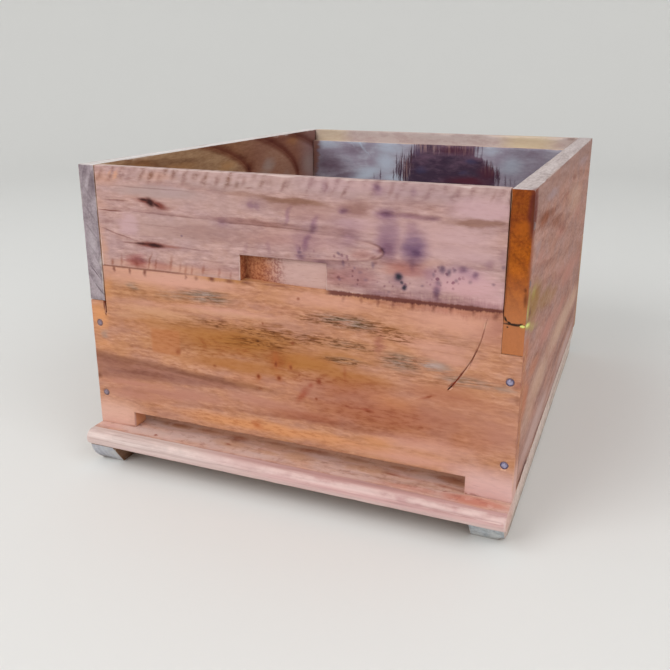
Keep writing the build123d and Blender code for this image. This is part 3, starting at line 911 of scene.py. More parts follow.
    smear = (
        (18, 66, 16, 6, 0.8, 52), (26, 76, 5, 4, 0.7, 40), (33.5, 81, 4, 4.4, 0.8, -20),
        (58, 92, 3, 13, 0.4), (78, 62, 8, 2.2, 0.8), (130, 82, 14, 2, 0.5, 24),
    )
    p.stain((218, 158, 144), smear, core=0.0, drift=1.5)
    red_halo = ((-26, 76, 5, 6, 0.7), (-5, 78, 6, 6, 0.7), (-8, 94, 5, 14, 0.7), (6, 91, 5, 7, 0.6))
    p.wash((164, 90, 46), red_halo, core=0.0, drift=1.0)
    red_spots = (
        (-26, 76.5, 2.6, 3.4, 1.0), (-5, 78, 3.4, 3.2, 1.0), (-8, 91, 2.4, 4, 0.9),
        (7, 90, 2.4, 3, 0.8), (34, 81, 2.4, 3, 0.8), (31, 64, 2.4, 2.2, 0.8), (80, 60.5, 4, 1.8, 0.9),
        (-71, 80, 2.8, 2.4, 0.6), (-110, 88, 5, 4, 0.6, 30), (15, 84, 2.2, 1.8, 0.7),
        (60, 62, 3.2, 1.3, 0.7), (133, 83, 4, 1.5, 0.7, 20), (127, 54, 4, 1.3, 0.6),
        (15, 154, 2.8, 2.2, 0.7, 20), (-24, 65, 3.4, 2, 0.5), (-20, 127.5, 1.8, 1.6, 0.7),
        (9, 113, 3, 2.6, 0.6),
    )
    p.wash((128, 58, 30), red_spots, drift=0.5, fray=0.8)
    end_nicks = ((-205, 50, 5, 5, 0.9), (205, 92, 4, 6, 0.5))
    p.wash((120, 70, 50), end_nicks, core=0.0, drift=1.0)
    blended = p.overlap(p.fade(p.up, 148.0, 163.0), p.fade(p.along, -36.0, -70.0))
    p.lay(blended, (199, 152, 134), 0.5)
    left_seam = p.overlap(p.seam(164.2, 1.5, 0.5, 0.6), p.fade(p.along, *left_of_hold))
    p.lay(left_seam, (116, 68, 56), 0.8)
    gilt_seam = p.overlap(
        p.seam(163.6, 2.0, 2.6, 1.4), p.fade(p.along, -92.0, -70.0), p.fade(p.along, -24.0, -44.0),
    )
    p.lay(gilt_seam, (176, 122, 72), 0.7)
    seam_ticks = (
        (-176, 162, 3, 5, 0.9), (-158, 162, 2.6, 5, 0.8), (-141, 162, 3, 6, 0.9),
        (-97, 162, 2.2, 4, 0.6), (-86, 162, 3.4, 3.4, 0.6, -10), (-70, 163, 5, 4, 1.0, -10),
        (-52, 163, 7, 3.4, 0.8), (-35, 163, 10, 3, 0.8), (56, 159, 2.6, 5, 0.4),
        (72, 160, 2.6, 5, 0.5), (87, 159, 2.2, 6, 0.6), (100, 159, 2.6, 6, 0.5), (116, 160, 3, 5, 0.7),
        (134, 160, 2.6, 6, 0.7), (148, 160, 2.6, 5, 0.6), (166, 160, 2.6, 5, 0.6),
        (184, 159, 4, 5, 0.7), (-6, 163.6, 24, 1.6, 0.5),
    )
    p.wash((116, 64, 52), seam_ticks, core=0.0, drift=1.5)
    right_seam = p.overlap(
        p.seam(163.4, 2.0, 2.4, 0.9), p.fade(p.along, *right_of_hold), p.fade(p.depth, *short_of_inside),
    )
    p.lay(right_seam, (98, 50, 46), 0.92)
    seam_haze = p.overlap(p.seam(162.0, 2.0, 6.0, 4.0), p.fade(p.along, *far_right))
    p.darken(seam_haze, (200, 158, 158), 0.5)
    corner = ((188, 150, 12, 18, 0.6),)
    p.stain((222, 206, 214), corner, core=0.0)
    kerf_edge = ((-190.5, 127, 2, 12, 1.0), (-190, 117, 1.6, 4, 0.9))
    p.wash((104, 44, 24), kerf_edge, core=0.3, drift=0.3, fray=0.4, reach_in=30.0)
    # Dark red brown along the crack: stain, with painted shade that deepens the groove.
    crack_stain_and_painted_shade = (
        (174.4, 143, 0.8, 14, 0.5, -11), (168, 123, 1.0, 15, 0.8, -19), (159, 107, 1.5, 12, 0.95, -31),
        (151.5, 96, 2.4, 7.5, 1.0, -36),
    )
    p.wash((110, 44, 30), crack_stain_and_painted_shade, drift=0.3, fray=0.4)
    # Painted light: warm orange on the crack's inner walls, where little light reaches.
    round_crack = p.spots([(163, 122, 26, 42, 1.0)], core=0.6, reach_in=30.0)
    crack_painted_light = p.overlap(round_crack, p.fade(p.depth, 0.2, 0.8), p.fade(p.depth, *short_of_inside))
    p.lay(crack_painted_light, (224, 112, 76))
    pale_foot = p.overlap(p.on_end, p.fade(p.up, 46.0, 18.0))
    p.lay(pale_foot, (206, 164, 152), 0.8)
    way_in = p.overlap(
        p.fade(p.depth, 1.0, 4.0), p.fade(p.up, 17.0, 15.8),
        p.fade(p.maths("ABSOLUTE", p.along), 190.0, 180.0),
    )
    p.lay(way_in, (214, 152, 112), 0.9)
    return p.finish((216, 170, 146))


def grey_back_wall():
    """Mottled grey inner face with one large dark spill, and a plain tan outer face."""
    p = BoardPaint("grey_back_wall", upright, back_shift)
    p.lay_figure(
        shift=(520.0, 15.0, 60.0), heart=(0.015, 52.0, 110.0), tilt=0.08, ring_width=9.0, rings=0.1,
        streaks=0.15, flecks=0.8,
    )
    p.lay_tones(
        face=((192, 194, 208), (164, 162, 178), (132, 124, 140)),
        reverse=((208, 166, 142), (184, 140, 116), (148, 104, 82)),
        ends=((196, 156, 126), (172, 128, 98), (140, 98, 72)),
        edges=((224, 204, 188), (206, 180, 160), (176, 144, 122)),
    )
    inside = p.overlap(p.on_face, p.fade(p.depth, 4.0, 2.0))
    cloudy = p.patches((0.03, 0.03, 0.045), 0.4, 0.62, detail=4.0)
    p.lay(p.overlap(cloudy, inside), (146, 134, 152), 0.7)
    frost = (
        (-165, 238, 30, 10, 0.6), (-130, 246, 40, 8, 0.5, -20), (-105, 198, 46, 14, 0.85, 16),
        (-75, 215, 24, 26, 0.8), (-70, 236, 30, 14, 0.7), (105, 218, 22, 20, 0.6, 30),
        (78, 236, 20, 10, 0.5), (-60, 194, 34, 10, 0.8), (-112, 238, 15, 2.6, 0.9, -50),
        (-104, 231, 12, 2, 0.7, -50), (-128, 240, 10, 2, 0.5, -46),
    )
    p.wash((184, 197, 214), frost, drift=6.0, fray=2.0)
    damp = (
        (-160, 210, 46, 24, 1.0, -10), (-120, 232, 34, 12, 0.6), (-140, 194, 40, 8, 0.9, 10),
        (-185, 215, 16, 40, 0.8), (120, 238, 40, 12, 0.4),
    )
    p.stain((190, 170, 178), damp, fray=2.0)
    dusky = ((130, 214, 60, 44, 1.0),)
    p.stain((230, 228, 230), dusky, core=0.4)
    rest_strip = p.overlap(p.fade(p.depth, 4.0, 7.0), p.fade(p.up, 240.0, 243.0))
    p.lay(rest_strip, (196, 178, 172), 0.9)
    blotched = p.patches((0.05, 0.1, 0.12), 0.44, 0.6, detail=4.0, roughness=0.65)
    p.lay(p.overlap(rest_strip, blotched), (176, 152, 150), 0.6)
    straw = ((-165, 250, 40, 30, 0.7), (125, 250, 50, 30, 0.9))
    straw_cover = p.spots(straw, core=0.3, depth=9.0, reach_in=40.0)
    p.lay(p.overlap(rest_strip, straw_cover), (208, 190, 152), 0.7)
    strokes = p.less(p.noise(p.place, (0.24, 0.3, 0.016), detail=4.0, roughness=0.7), 0.5)
    ragged = p.scaled(strokes, 80.0, p.along)
    ragged_right = p.scaled(strokes, 50.0, p.along)
    left_edge = p.scaled(p.fade(p.up, 208.0, 242.0), 18.0, -48.0)
    right_edge = p.scaled(p.fade(p.up, 231.0, 222.0), 14.0, 60.0)
    right_edge = p.scaled(p.fade(p.up, 222.0, 206.0), 14.0, right_edge)
    ragged_foot = p.scaled(strokes, 150.0, p.up)
    spill = p.overlap(
        p.fade(p.less(ragged, left_edge), -5.0, 5.0),
        p.fade(p.less(ragged_right, right_edge), 4.0, -4.0),
        p.fade(p.up, 245.0, 243.0),
        p.fade(ragged_foot, 60.0, 130.0),
        p.fade(p.depth, 6.0, 2.0),
    )
    thick = p.noise(p.place, (0.03, 0.1, 0.09), detail=5.0, roughness=0.7)
    thick = p.scaled(p.fade(p.up, 240.0, 200.0), 0.16, thick)
    p.lay(spill, p.mix(p.fade(thick, 0.38, 0.7), (104, 77, 98), (53, 32, 56)), 0.96)
    bristles = (
        (-58, 212, 1.4, 24, 0.8), (-54, 206, 2.2, 22, 0.9), (-50, 218, 1.2, 24, 0.8),
        (-44, 206, 2.0, 26, 0.9), (-40, 214, 1.4, 24, 0.8), (-36, 224, 2.0, 24, 0.9),
        (-62, 198, 1.4, 12, 0.8), (80, 208, 2, 18, 0.9), (86, 206, 1.6, 16, 0.9),
        (90, 202, 1.4, 18, 0.8), (72, 214, 1.6, 16, 0.8), (-47, 198, 1.6, 12, 0.9),
    )
    p.wash((70, 46, 60), bristles, core=0.3, drift=1.5, fray=1.2)
    gaps = (
        (-27, 240, 1.8, 9, 0.8), (-22, 238, 1.3, 8, 0.7), (-15, 241, 1.4, 6, 0.7),
        (-3, 238, 2.2, 8, 0.8, -14), (4, 236, 1.4, 9, 0.5), (-47, 212, 1.0, 14, 0.6),
        (-38, 204, 0.9, 10, 0.5), (-52, 220, 0.9, 12, 0.5), (34, 240, 1.2, 8, 0.4),
    )
    p.wash((150, 132, 144), gaps, core=0.2, drift=1.5, fray=1.2)
    scraped = p.patches((0.3, 0.3, 0.02), 0.46, 0.64, detail=4.0, roughness=0.7)
    brown = (
        (20, 238, 46, 12, 1.0), (-22, 240, 14, 12, 0.8), (-46, 210, 14, 30, 0.6),
        (78, 214, 16, 14, 0.4),
    )
    p.lay(p.overlap(spill, scraped, p.spots(brown, core=0.3)), (166, 132, 128))
    warm = ((25, 236, 44, 10, 0.6), (48, 195, 50, 10, 0.9), (74, 206, 22, 18, 0.6))
    p.lay(p.overlap(spill, p.spots(warm)), (86, 36, 52))
    blue = (
        (50, 222, 14, 6, 0.8, -3), (-20, 207, 16, 8, 0.6), (40, 207, 8, 4, 0.5),
        (-26, 232, 10, 10, 0.4),
    )
    p.lay(p.overlap(spill, p.spots(blue)), (62, 60, 92))
    thin_strokes = (
        (-82, 197, 1.6, 13, 0.9), (-92, 194, 1.2, 8, 0.6), (99, 197, 2, 13, 0.8),
        (106, 196, 1.4, 9, 0.6), (-57, 206, 2, 18, 0.8), (112, 196, 1.2, 6, 0.5),
    )
    p.wash((84, 66, 84), thin_strokes, drift=2.0, fray=1.5)
    corner_brown = ((-187, 225, 10, 60, 0.9),)
    p.wash((140, 98, 84), corner_brown, core=0.2)
    outside_knots = ((95, 90, 16, 9, 0.9), (-120, 190, 12, 6, 0.8, 6), (-40, 40, 9, 6, 0.7))
    p.stain((140, 94, 70), outside_knots, depth=18.0)
    outside_rain = ((60, 210, 90, 16, 0.5, -2), (-90, 110, 110, 14, 0.5, -2), (140, 40, 70, 14, 0.5))
    p.stain((206, 194, 186), outside_rain, depth=18.0)
    return p.finish((222, 200, 184))


def golden_left_wall():
    """Golden brown inner face with dark growth arcs, greying to the back, and a lilac grey front end."""
    p = BoardPaint("golden_left_wall", sideways, left_shift)
    p.lay_figure(
        shift=(90.0, 40.0, 10.0), heart=(0.0, -61.0, 215.0), tilt=0.0, ring_width=10.0, rings=0.3,
        streaks=1.2, flecks=0.9,
    )
    p.lay_tones(
        face=((194, 161, 125), (165, 129, 97), (128, 92, 67)),
        reverse=((206, 166, 144), (180, 138, 118), (146, 104, 88)),
        ends=((178, 165, 170), (150, 137, 142), (114, 100, 107)),
        edges=((236, 232, 230), (216, 210, 208), (188, 174, 168)),
    )
    reddened = p.overlap(p.on_face, p.fade(p.along, 240.0, 330.0))
    p.lay(reddened, (147, 99, 88), 0.6)
    greyed = p.overlap(p.on_face, p.fade(p.along, 420.0, 480.0))
    p.lay(greyed, (150, 128, 134), 0.6)
    honey = (
        (60, 248, 50, 9, 0.5), (130, 240, 60, 8, 0.5), (420, 248, 30, 8, 0.5), (240, 232, 30, 8, 0.6),
    )
    p.wash((186, 138, 88), honey)
    grey_patch = (
        (346, 222, 28, 14, 0.6), (330, 212, 30, 8, 0.4), (470, 212, 40, 20, 0.6),
        (400, 200, 20, 12, 0.3),
    )
    p.wash((164, 148, 142), grey_patch, fray=2.0)
    arcs = (
        ((293.0, 0.0, 212.0), 120.0, 600.0, 9.0, 46.0, 0.9),
        ((435.0, 0.0, 196.0), 130.0, 420.0, 10.0, 50.0, 0.9),
        ((540.0, 0.0, 200.0), 130.0, 560.0, 9.0, 40.0, 0.8),
        ((150.0, 0.0, 214.0), 130.0, 900.0, 6.0, 24.0, 0.3),
    )
    for tip, half_width, run, line, beside, strength in arcs:
        arc = p.tongue(tip, half_width, run, line, beside)
        p.darken(p.overlap(arc["Outside"], 0.75 * strength, p.on_face), (200, 150, 132))
        p.darken(p.overlap(arc["Line"], 0.85 * strength, p.on_face), (176, 112, 92))
    burr = ((296, 226, 18, 10, 0.9), (280, 238, 24, 6, 0.5, -20), (60, 236, 14, 4, 0.4))
    p.stain((186, 138, 108), burr)
    end_lines = (
        (8.5, 157, 13, 0.9, 1.0, 49), (6, 141, 10, 0.9, 1.0, 49), (8.5, 178, 12, 1.4, 0.4, 49),
        (8.5, 196, 13, 1.4, 0.5, 50), (8.5, 214, 12, 1.6, 0.4, 52), (8.5, 232, 12, 1.6, 0.4, 55),
    )
    p.stain((150, 134, 142), end_lines, drift=1.0, reach_in=8.0, end=0.0)
    end_shade = (
        (8.5, 252, 14, 10, 0.6), (3, 240, 7, 22, 0.9), (1, 175, 3, 50, 0.6), (13, 215, 5, 30, 0.4),
    )
    p.stain((196, 186, 192), end_shade, drift=2.0, reach_in=8.0, end=0.0)
    end_pale = ((9, 186, 6, 20, 0.4), (8, 146, 8, 10, 0.2))
    p.wash((182, 172, 176), end_pale, drift=2.0, reach_in=8.0, end=0.0)
    outside_knots = ((150, 60, 13, 7, 0.9), (360, 205, 15, 8, 0.9), (250, 120, 8, 5, 0.8))
    p.stain((140, 92, 68), outside_knots, depth=17.0)
    outside_rain = ((120, 200, 90, 18, 0.5, -3), (380, 100, 100, 20, 0.5, -2), (200, 24, 160, 10, 0.5))
    p.stain((208, 194, 186), outside_rain, depth=17.0)
    return p.finish((226, 216, 210))


def beige_right_wall():
    """Pinkish beige outer face with long streaks, rust and a lime green smear, and an amber front end."""
    p = BoardPaint("beige_right_wall", sideways, right_shift)
    p.lay_figure(
        shift=(710.0, 30.0, 140.0), heart=(-0.06, 80.0, 120.0), tilt=0.06, ring_width=11.0, rings=0.25,
        streaks=1.0, flecks=1.5,
    )
    p.lay_tones(
        face=((188, 144, 132), (166, 122, 109), (138, 96, 84)),
        reverse=((196, 158, 130), (172, 130, 102), (138, 98, 74)),
        ends=((176, 92, 4), (148, 74, 0), (114, 50, 0)),
        edges=((212, 200, 198), (190, 176, 174), (160, 144, 142)),
    )
    outside = p.overlap(p.on_face, p.fade(p.depth, 3.0, 1.0))
    flush = p.fade(p.figure["Mottle"], 0.46, 0.66)
    p.lay(p.overlap(flush, outside), (178, 124, 104), 0.5)
    cool = p.fade(p.figure["Mottle"], 0.5, 0.32)
    p.lay(p.overlap(cool, outside), (150, 116, 112), 0.5)
    sandy = (
        (300, 66, 190, 22, 0.7, -3), (120, 66, 100, 24, 0.6, -4), (60, 60, 60, 30, 0.4),
        (420, 60, 90, 20, 0.7, -3), (330, 206, 110, 26, 0.35, -5),
    )
    p.wash((204, 167, 144), sandy, core=0.2)
    bleached_foot = ((120, 20, 130, 18, 0.8), (370, 14, 140, 14, 0.8), (250, 8, 90, 8, 0.5))
    p.wash((192, 160, 152), bleached_foot, core=0.3)
    rosy = (
        (330, 120, 120, 22, 0.8, -5), (150, 104, 90, 16, 0.9, -5), (440, 110, 60, 16, 0.6, -4),
        (270, 94, 70, 10, 0.7, -3), (200, 190, 60, 10, 0.6, -8), (60, 196, 40, 8, 0.5),
        (240, 140, 90, 10, 0.5, -6), (390, 180, 80, 14, 0.4, -4), (90, 186, 60, 6, 0.4, -8),
    )
    p.wash((182, 124, 110), rosy)
    glow = (
        (24, 84, 34, 26, 0.8), (12, 128, 26, 20, 0.7), (70, 96, 60, 12, 0.5, -6),
        (10, 104, 24, 14, 0.6),
    )
    p.wash((182, 112, 78), glow, core=0.25)
    umber = (
        (210, 194, 60, 9, 0.6, -9), (300, 232, 30, 4, 0.7, -6), (120, 176, 80, 6, 0.3, -8),
        (230, 222, 40, 4, 0.4, -4),
    )
    p.stain((206, 166, 144), umber, core=0.25)
    rust = (
        (66, 226, 60, 10, 1.0, -3), (60, 227, 34, 7, 1.0), (150, 210, 80, 10, 0.6, -8),
        (110, 222, 50, 8, 0.6, -6),
    )
    p.stain((206, 152, 104), rust, core=0.2)
    greyer_top = p.overlap(outside, p.fade(p.up, 222.0, 252.0))
    p.lay(greyer_top, (146, 115, 108), 0.5)
    lilac = ((110, 240, 60, 7, 0.6, -2), (400, 240, 80, 8, 0.5, -2), (40, 208, 30, 8, 0.4, -4))
    p.wash((164, 142, 146), lilac)
    low_damp = ((300, 34, 110, 7, 0.5, -1), (420, 36, 80, 8, 0.5, -2))
    p.stain((198, 182, 172), low_damp, core=0.3)
    # Painted shadow along the wall's foot and into the gap under its wane.
    wane_painted_shadow = ((56, 4, 44, 5, 1.0), (140, 4, 60, 3, 0.7), (250, 1.4, 200, 2.4, 0.9))
    p.wash((96, 56, 48), wane_painted_shadow, core=0.2, drift=2.0, fray=1.5, reach_in=30.0)
    olive = ((40, 162, 60, 26, 0.9, -4), (110, 146, 80, 14, 0.6, -6), (160, 134, 80, 10, 0.5, -6))
    p.wash((146, 104, 47), olive, core=0.2)
    lime = (
        (34, 172, 20, 9, 0.4, -6), (16, 149, 24, 4.4, 1.0, -14), (40, 141, 24, 6, 0.45, -12),
        (9, 172, 8, 26, 0.8), (64, 135, 24, 4, 0.2, -10),
    )
    p.wash((176, 164, 86), lime, drift=3.0, fray=2.0)
    lime_core = ((10, 151.5, 16, 2.4, 1.0, -14), (5, 168, 3.4, 15, 0.7))
    p.wash((216, 218, 128), lime_core, core=0.2, drift=1.0, fray=1.5)
    dot = ((22, 159, 10, 6, 0.9, -14), (80, 102, 20, 3, 0.5, -6))
    p.wash((112, 66, 40), dot)
    amber_turn = p.overlap(outside, p.fade(p.along, 18.0, 3.0), p.fade(p.up, 156.0, 174.0))
    p.lay(amber_turn, (152, 82, 40), 0.85)
    maroon = ((2, 242, 22, 26, 1.0),)
    p.wash((108, 44, 34), maroon, core=0.4, drift=2.0)
    end_bands = p.patches((0.02, 0.03, 0.09), 0.4, 0.62, detail=4.0)
    p.darken(p.overlap(p.on_end, end_bands), (214, 186, 150), 0.6)
    darker_top = p.overlap(p.on_end, p.fade(p.up, 205.0, 252.0))
    p.darken(darker_top, (212, 196, 150), 0.6)
    paler_low = p.overlap(p.on_end, p.fade(p.up, 208.0, 146.0))
    p.lay(paler_low, (178, 112, 72), 0.8)
    end_glow = ((7, 230, 9, 8, 0.5), (10, 196, 8, 10, 0.4))
    p.wash((182, 96, 12), end_glow, drift=3.0, reach_in=8.0, end=0.0)
    end_maroon = (
        (0.5, 240, 2.6, 22, 0.8), (1.5, 174, 2.4, 9, 0.7), (16.5, 205, 1.6, 60, 0.6),
        (2, 182, 2, 3, 0.8),
    )
    p.wash((92, 40, 18), end_maroon, drift=1.5, fray=1.5, reach_in=8.0, end=0.0)
    # Painted shade of jagged cracks on the front end, running on from the open seam.
    split_painted_shade = (
        (15.4, 157.6, 3.6, 1.2, 1.0, 62), (12.4, 155, 3, 1.2, 1.0, 30), (13.6, 151.4, 1.2, 1.0, 0.9),
        (8.5, 153.6, 5, 1.2, 1.0, 8), (4, 154.6, 3, 1.1, 0.8, -20),
    )
    p.wash((34, 22, 14), split_painted_shade, core=0.3, drift=0.4, fray=1.2, reach_in=10.0, end=0.0)
    # Painted shade inside the open seam near the front.
    split_line_painted_shade = ((0, 154, 34, 1.4, 0.9),)
    p.wash((40, 26, 18), split_line_painted_shade, core=0.3, drift=0.5, depth=9.0, reach_in=14.0)
    inside_knots = ((180, 190, 13, 8, 0.9), (390, 80, 10, 6, 0.9))
    p.stain((140, 90, 66), inside_knots, depth=17.0)
    dark_arris = p.overlap(p.fade(p.along, 22.0, 8.0), p.fade(p.up, 258.5, 255.0))
    return p.finish((206, 186, 178), kept=dark_arris)


def pale_lip():
    """Pale pink board, weathered round nose; painted light and shade on the nose and in the entrance; tan
    under the box.
    """
    p = BoardPaint("pale_lip", lying, floor_shift)
    p.lay_figure(
        shift=(33.0, 70.0, 21.0), heart=(0.01, 40.0, -30.0), tilt=0.02, ring_width=7.5, rings=0.35,
        streaks=0.7, flecks=1.4,
    )
    below = ((196, 158, 134), (172, 130, 106), (138, 98, 76))
    p.lay_tones(
        face=((222, 186, 171), (202, 162, 146), (172, 130, 114)),
        reverse=below,
        ends=((226, 200, 184), (206, 176, 158), (174, 140, 122)),
        edges=((216, 190, 186), (192, 160, 154), (160, 126, 122)),
    )
    p.blush((208, 158, 132), (202, 170, 166), 0.5)
    nose_line = p.scaled(p.fade(p.along, 90.0, 190.0), -4.0, -13.0)
    wavering = p.scaled(p.noise(p.place, (0.03, 0.0, 0.0), detail=4.0, roughness=0.65), 3.0, -1.5)
    past_line = p.less(p.maths("ADD", p.up, wavering), nose_line)
    salmon = ((178, -9, 40, 9, 1.0), (120, -8, 40, 6, 0.6), (120, 10, 30, 7, 0.5))
    p.wash((194, 130, 113), salmon, core=0.3)
    # Painted bounce light: the tread under the entrance made warmer and more orange, in uneven patches.
    tread_painted_bounce_light = p.overlap(p.fade(p.up, 8.0, 20.0), p.patches((0.02, 0.05, 0.06), 0.36, 0.56, roughness=0.5))
    p.lay(tread_painted_bounce_light, (211, 154, 122), 0.55)
    # Painted light: paler peach on the floor in and behind the entrance.
    entrance_painted_light = p.fade(p.up, 14.0, 32.0)
    p.lay(entrance_painted_light, (230, 173, 139), 0.85)
    under_box = p.fade(p.parts(p.shaken(6.0, 4.0))["Z"], 44.0, 78.0)
    p.retone(under_box, bare_tan)
    ashy = (
        (-150, -3, 60, 12, 0.9), (-100, 4, 50, 14, 0.8), (-40, -6, 60, 8, 0.6), (60, -9, 50, 6, 0.5),
        (-140, 16, 44, 10, 0.8), (30, 16, 26, 9, 0.7), (130, 12, 36, 7, 0.7),
    )
    p.wash((210, 180, 171), ashy, core=0.2, drift=5.0)
    ochre = (
        (-60, 6, 26, 12, 0.8), (10, 6, 24, 12, 0.9), (-20, 2, 20, 6, 0.5), (80, 8, 32, 9, 0.8),
        (-130, 18, 26, 6, 0.8), (60, 18, 24, 7, 0.7), (-10, 18, 26, 7, 0.6), (158, 16, 16, 8, 0.8),
    )
    p.wash((199, 152, 123), ochre, core=0.2, drift=5.0)
    # Painted shade: darker patches along the back of the entrance, under the wall's inner edge.
    entrance_painted_shade = (
        (-132, 20, 28, 6, 0.9), (-60, 17, 16, 8, 0.9), (20, 20, 30, 7, 0.9), (-95, 21, 18, 4, 0.6),
        (150, 18, 22, 8, 0.9), (105, 21, 24, 5, 0.7), (-20, 21, 20, 4, 0.6), (64, 21, 18, 4, 0.6),
    )
    p.stain((216, 182, 160), entrance_painted_shade, core=0.2, drift=5.0, fray=1.5)
    mottled = p.patches((0.09, 0.09, 0.12), 0.52, 0.66, detail=4.0, roughness=0.65)
    p.darken(mottled, (196, 158, 146), 0.35)
    bleached = p.patches((0.07, 0.07, 0.1), 0.47, 0.33, detail=4.0, roughness=0.65)
    p.lay(bleached, (222, 188, 176), 0.35)
    long_grain = p.patches((0.006, 0.32, 0.32), 0.3, 0.7, detail=4.0, roughness=0.65)
    pink_nose = p.ramp(long_grain, ((207, 170, 167), (191, 150, 148), (165, 125, 124)))
    pale_nose = p.ramp(long_grain, ((212, 197, 192), (201, 182, 177), (182, 159, 154)))
    nose_tone = p.mix(p.fade(p.along, -120.0, 60.0), pale_nose, pink_nose)
    nose = p.overlap(p.fade(past_line, 0.8, -0.9), p.fade(p.depth, 16.5, 12.0))
    p.lay(nose, nose_tone, 0.9)
    rosy_nose = p.overlap(
        nose, p.patches((0.012, 0.1, 0.1), 0.46, 0.62, roughness=0.5), p.fade(p.along, -150.0, 40.0),
    )
    p.lay(rosy_nose, (206, 166, 164), 0.5)
    ridge = p.overlap(p.fade(past_line, 1.9, 0.7), p.fade(past_line, -0.4, 0.5))
    p.darken(ridge, (206, 164, 152), 0.35)
    # Painted shade on the upper curve of the nose, on its right part.
    nose_top_painted_shade = p.overlap(nose, p.fade(p.depth, 6.0, 1.5), p.fade(p.along, -120.0, 60.0))
    p.lay(nose_top_painted_shade, (184, 146, 142), 0.6)
    # Painted light on the lower part of the nose.
    under_nose_painted_light = p.overlap(p.fade(p.depth, 6.0, 12.0), p.fade(p.up, -8.0, -12.0))
    p.lay(under_nose_painted_light, (222, 194, 190), 0.7)
    underside = p.overlap(p.fade(p.depth, 11.0, 15.0), p.fade(p.up, -12.0, -6.0))
    p.retone(underside, below)
    rust = (
        (-137, -6.5, 3.4, 2.6, 1.0), (-62, 3, 6, 3, 0.7, -20), (152, -2, 3, 2, 0.7, 40),
        (100, 8, 14, 3, 0.7, -4), (150, 5, 20, 3, 0.5, -4),
    )
    p.stain((196, 136, 116), rust, drift=3.0, fray=2.0)
    pinkish = ((-190, -6, 14, 6, 0.7), (-205, -3, 14, 4, 0.5))
    p.wash((202, 160, 154), pinkish)
    # Painted shadow along the right edge, under the gap below the right wall.
    under_wane_painted_shadow = ((203, 60, 9, 60, 1.0),)
    p.wash((112, 68, 54), under_wane_painted_shadow, core=0.2, drift=3.0)
    p.retone(p.on_end, weathered_end, 0.9)
    rosy_end = p.overlap(p.on_end, p.fade(p.up, 30.0, -10.0))
    p.lay(rosy_end, (206, 162, 150), 0.7)
    return p.finish((230, 208, 202))


def tan_floor():
    """Tan cross boards with a few darker patches and knots, their ends bleached."""
    p = BoardPaint("tan_floor", lying, floor_shift)
    p.lay_figure(
        shift=(133.0, 20.0, 321.0), heart=(0.012, 34.0, 210.0), tilt=0.06, ring_width=9.0, rings=0.5,
        streaks=1.2, flecks=1.0,
    )
    p.lay_tones(
        face=bare_tan,
        reverse=((194, 158, 132), (170, 130, 104), (136, 98, 76)),
        ends=((226, 204, 190), (206, 180, 164), (174, 142, 126)),
        edges=((196, 152, 126), (172, 126, 100), (140, 96, 74)),
    )
    p.blush((190, 138, 104), (168, 134, 118), 0.4)
    wax = ((-60, 190, 70, 50, 0.5), (90, 330, 80, 60, 0.5), (-100, 420, 60, 40, 0.4))
    p.stain((220, 186, 160), wax)
    knots = ((70, 180, 12, 7, 0.9), (-110, 300, 14, 8, 0.9), (40, 440, 10, 6, 0.9))
    p.stain((140, 92, 66), knots)
    p.retone(p.on_end, weathered_end, 0.9)
    return p.finish((220, 194, 176))


def grey_runner():
    """Sawn battens: bluish grey ends, brown sides with painted shade on the left runner's inner side, feet
    darker towards the ground.
    """
    p = BoardPaint("grey_runner", sideways, runner_shift)
    p.lay_figure(
        shift=(11.0, 3.0, 77.0), heart=(0.02, 30.0, -20.0), tilt=0.0, ring_width=6.0, rings=0.4,
        streaks=1.0, flecks=1.4,
    )
    grey = ((200, 206, 210), (176, 182, 188), (144, 148, 154))
    brown = ((186, 160, 136), (160, 132, 108), (124, 98, 78))
    p.lay_tones(face=brown, reverse=brown, ends=grey, edges=brown)
    sawn = p.patches((0.5, 0.05, 0.02), 0.5, 0.7, detail=2.0, roughness=0.5)
    p.darken(sawn, (196, 184, 174), 0.35)
    lilac_end = p.overlap(p.on_end, p.fade(p.depth, 200.0, 210.0))
    p.lay(lilac_end, (184, 178, 188), 0.45)
    bleached_side = p.overlap(p.on_face, p.fade(p.depth, 6.0, 3.0))
    p.retone(bleached_side, weathered_end, 0.85)
    # Painted shade on the left runner's inner side, under the floor.
    inner_side_painted_shade = p.overlap(p.on_face, p.fade(p.depth, 200.0, 210.0))
    p.lay(inner_side_painted_shade, (126, 84, 62), 0.6)
    # Darker towards the ground, less so on the ends.
    darker_foot = p.overlap(p.fade(p.up, 7.0, 0.0), p.scaled(p.on_end, -0.6, 1.0))
    p.darken(darker_foot, (180, 168, 156), 0.5)
    return p.finish((206, 204, 200), 0.7, 0.9, 0.4)


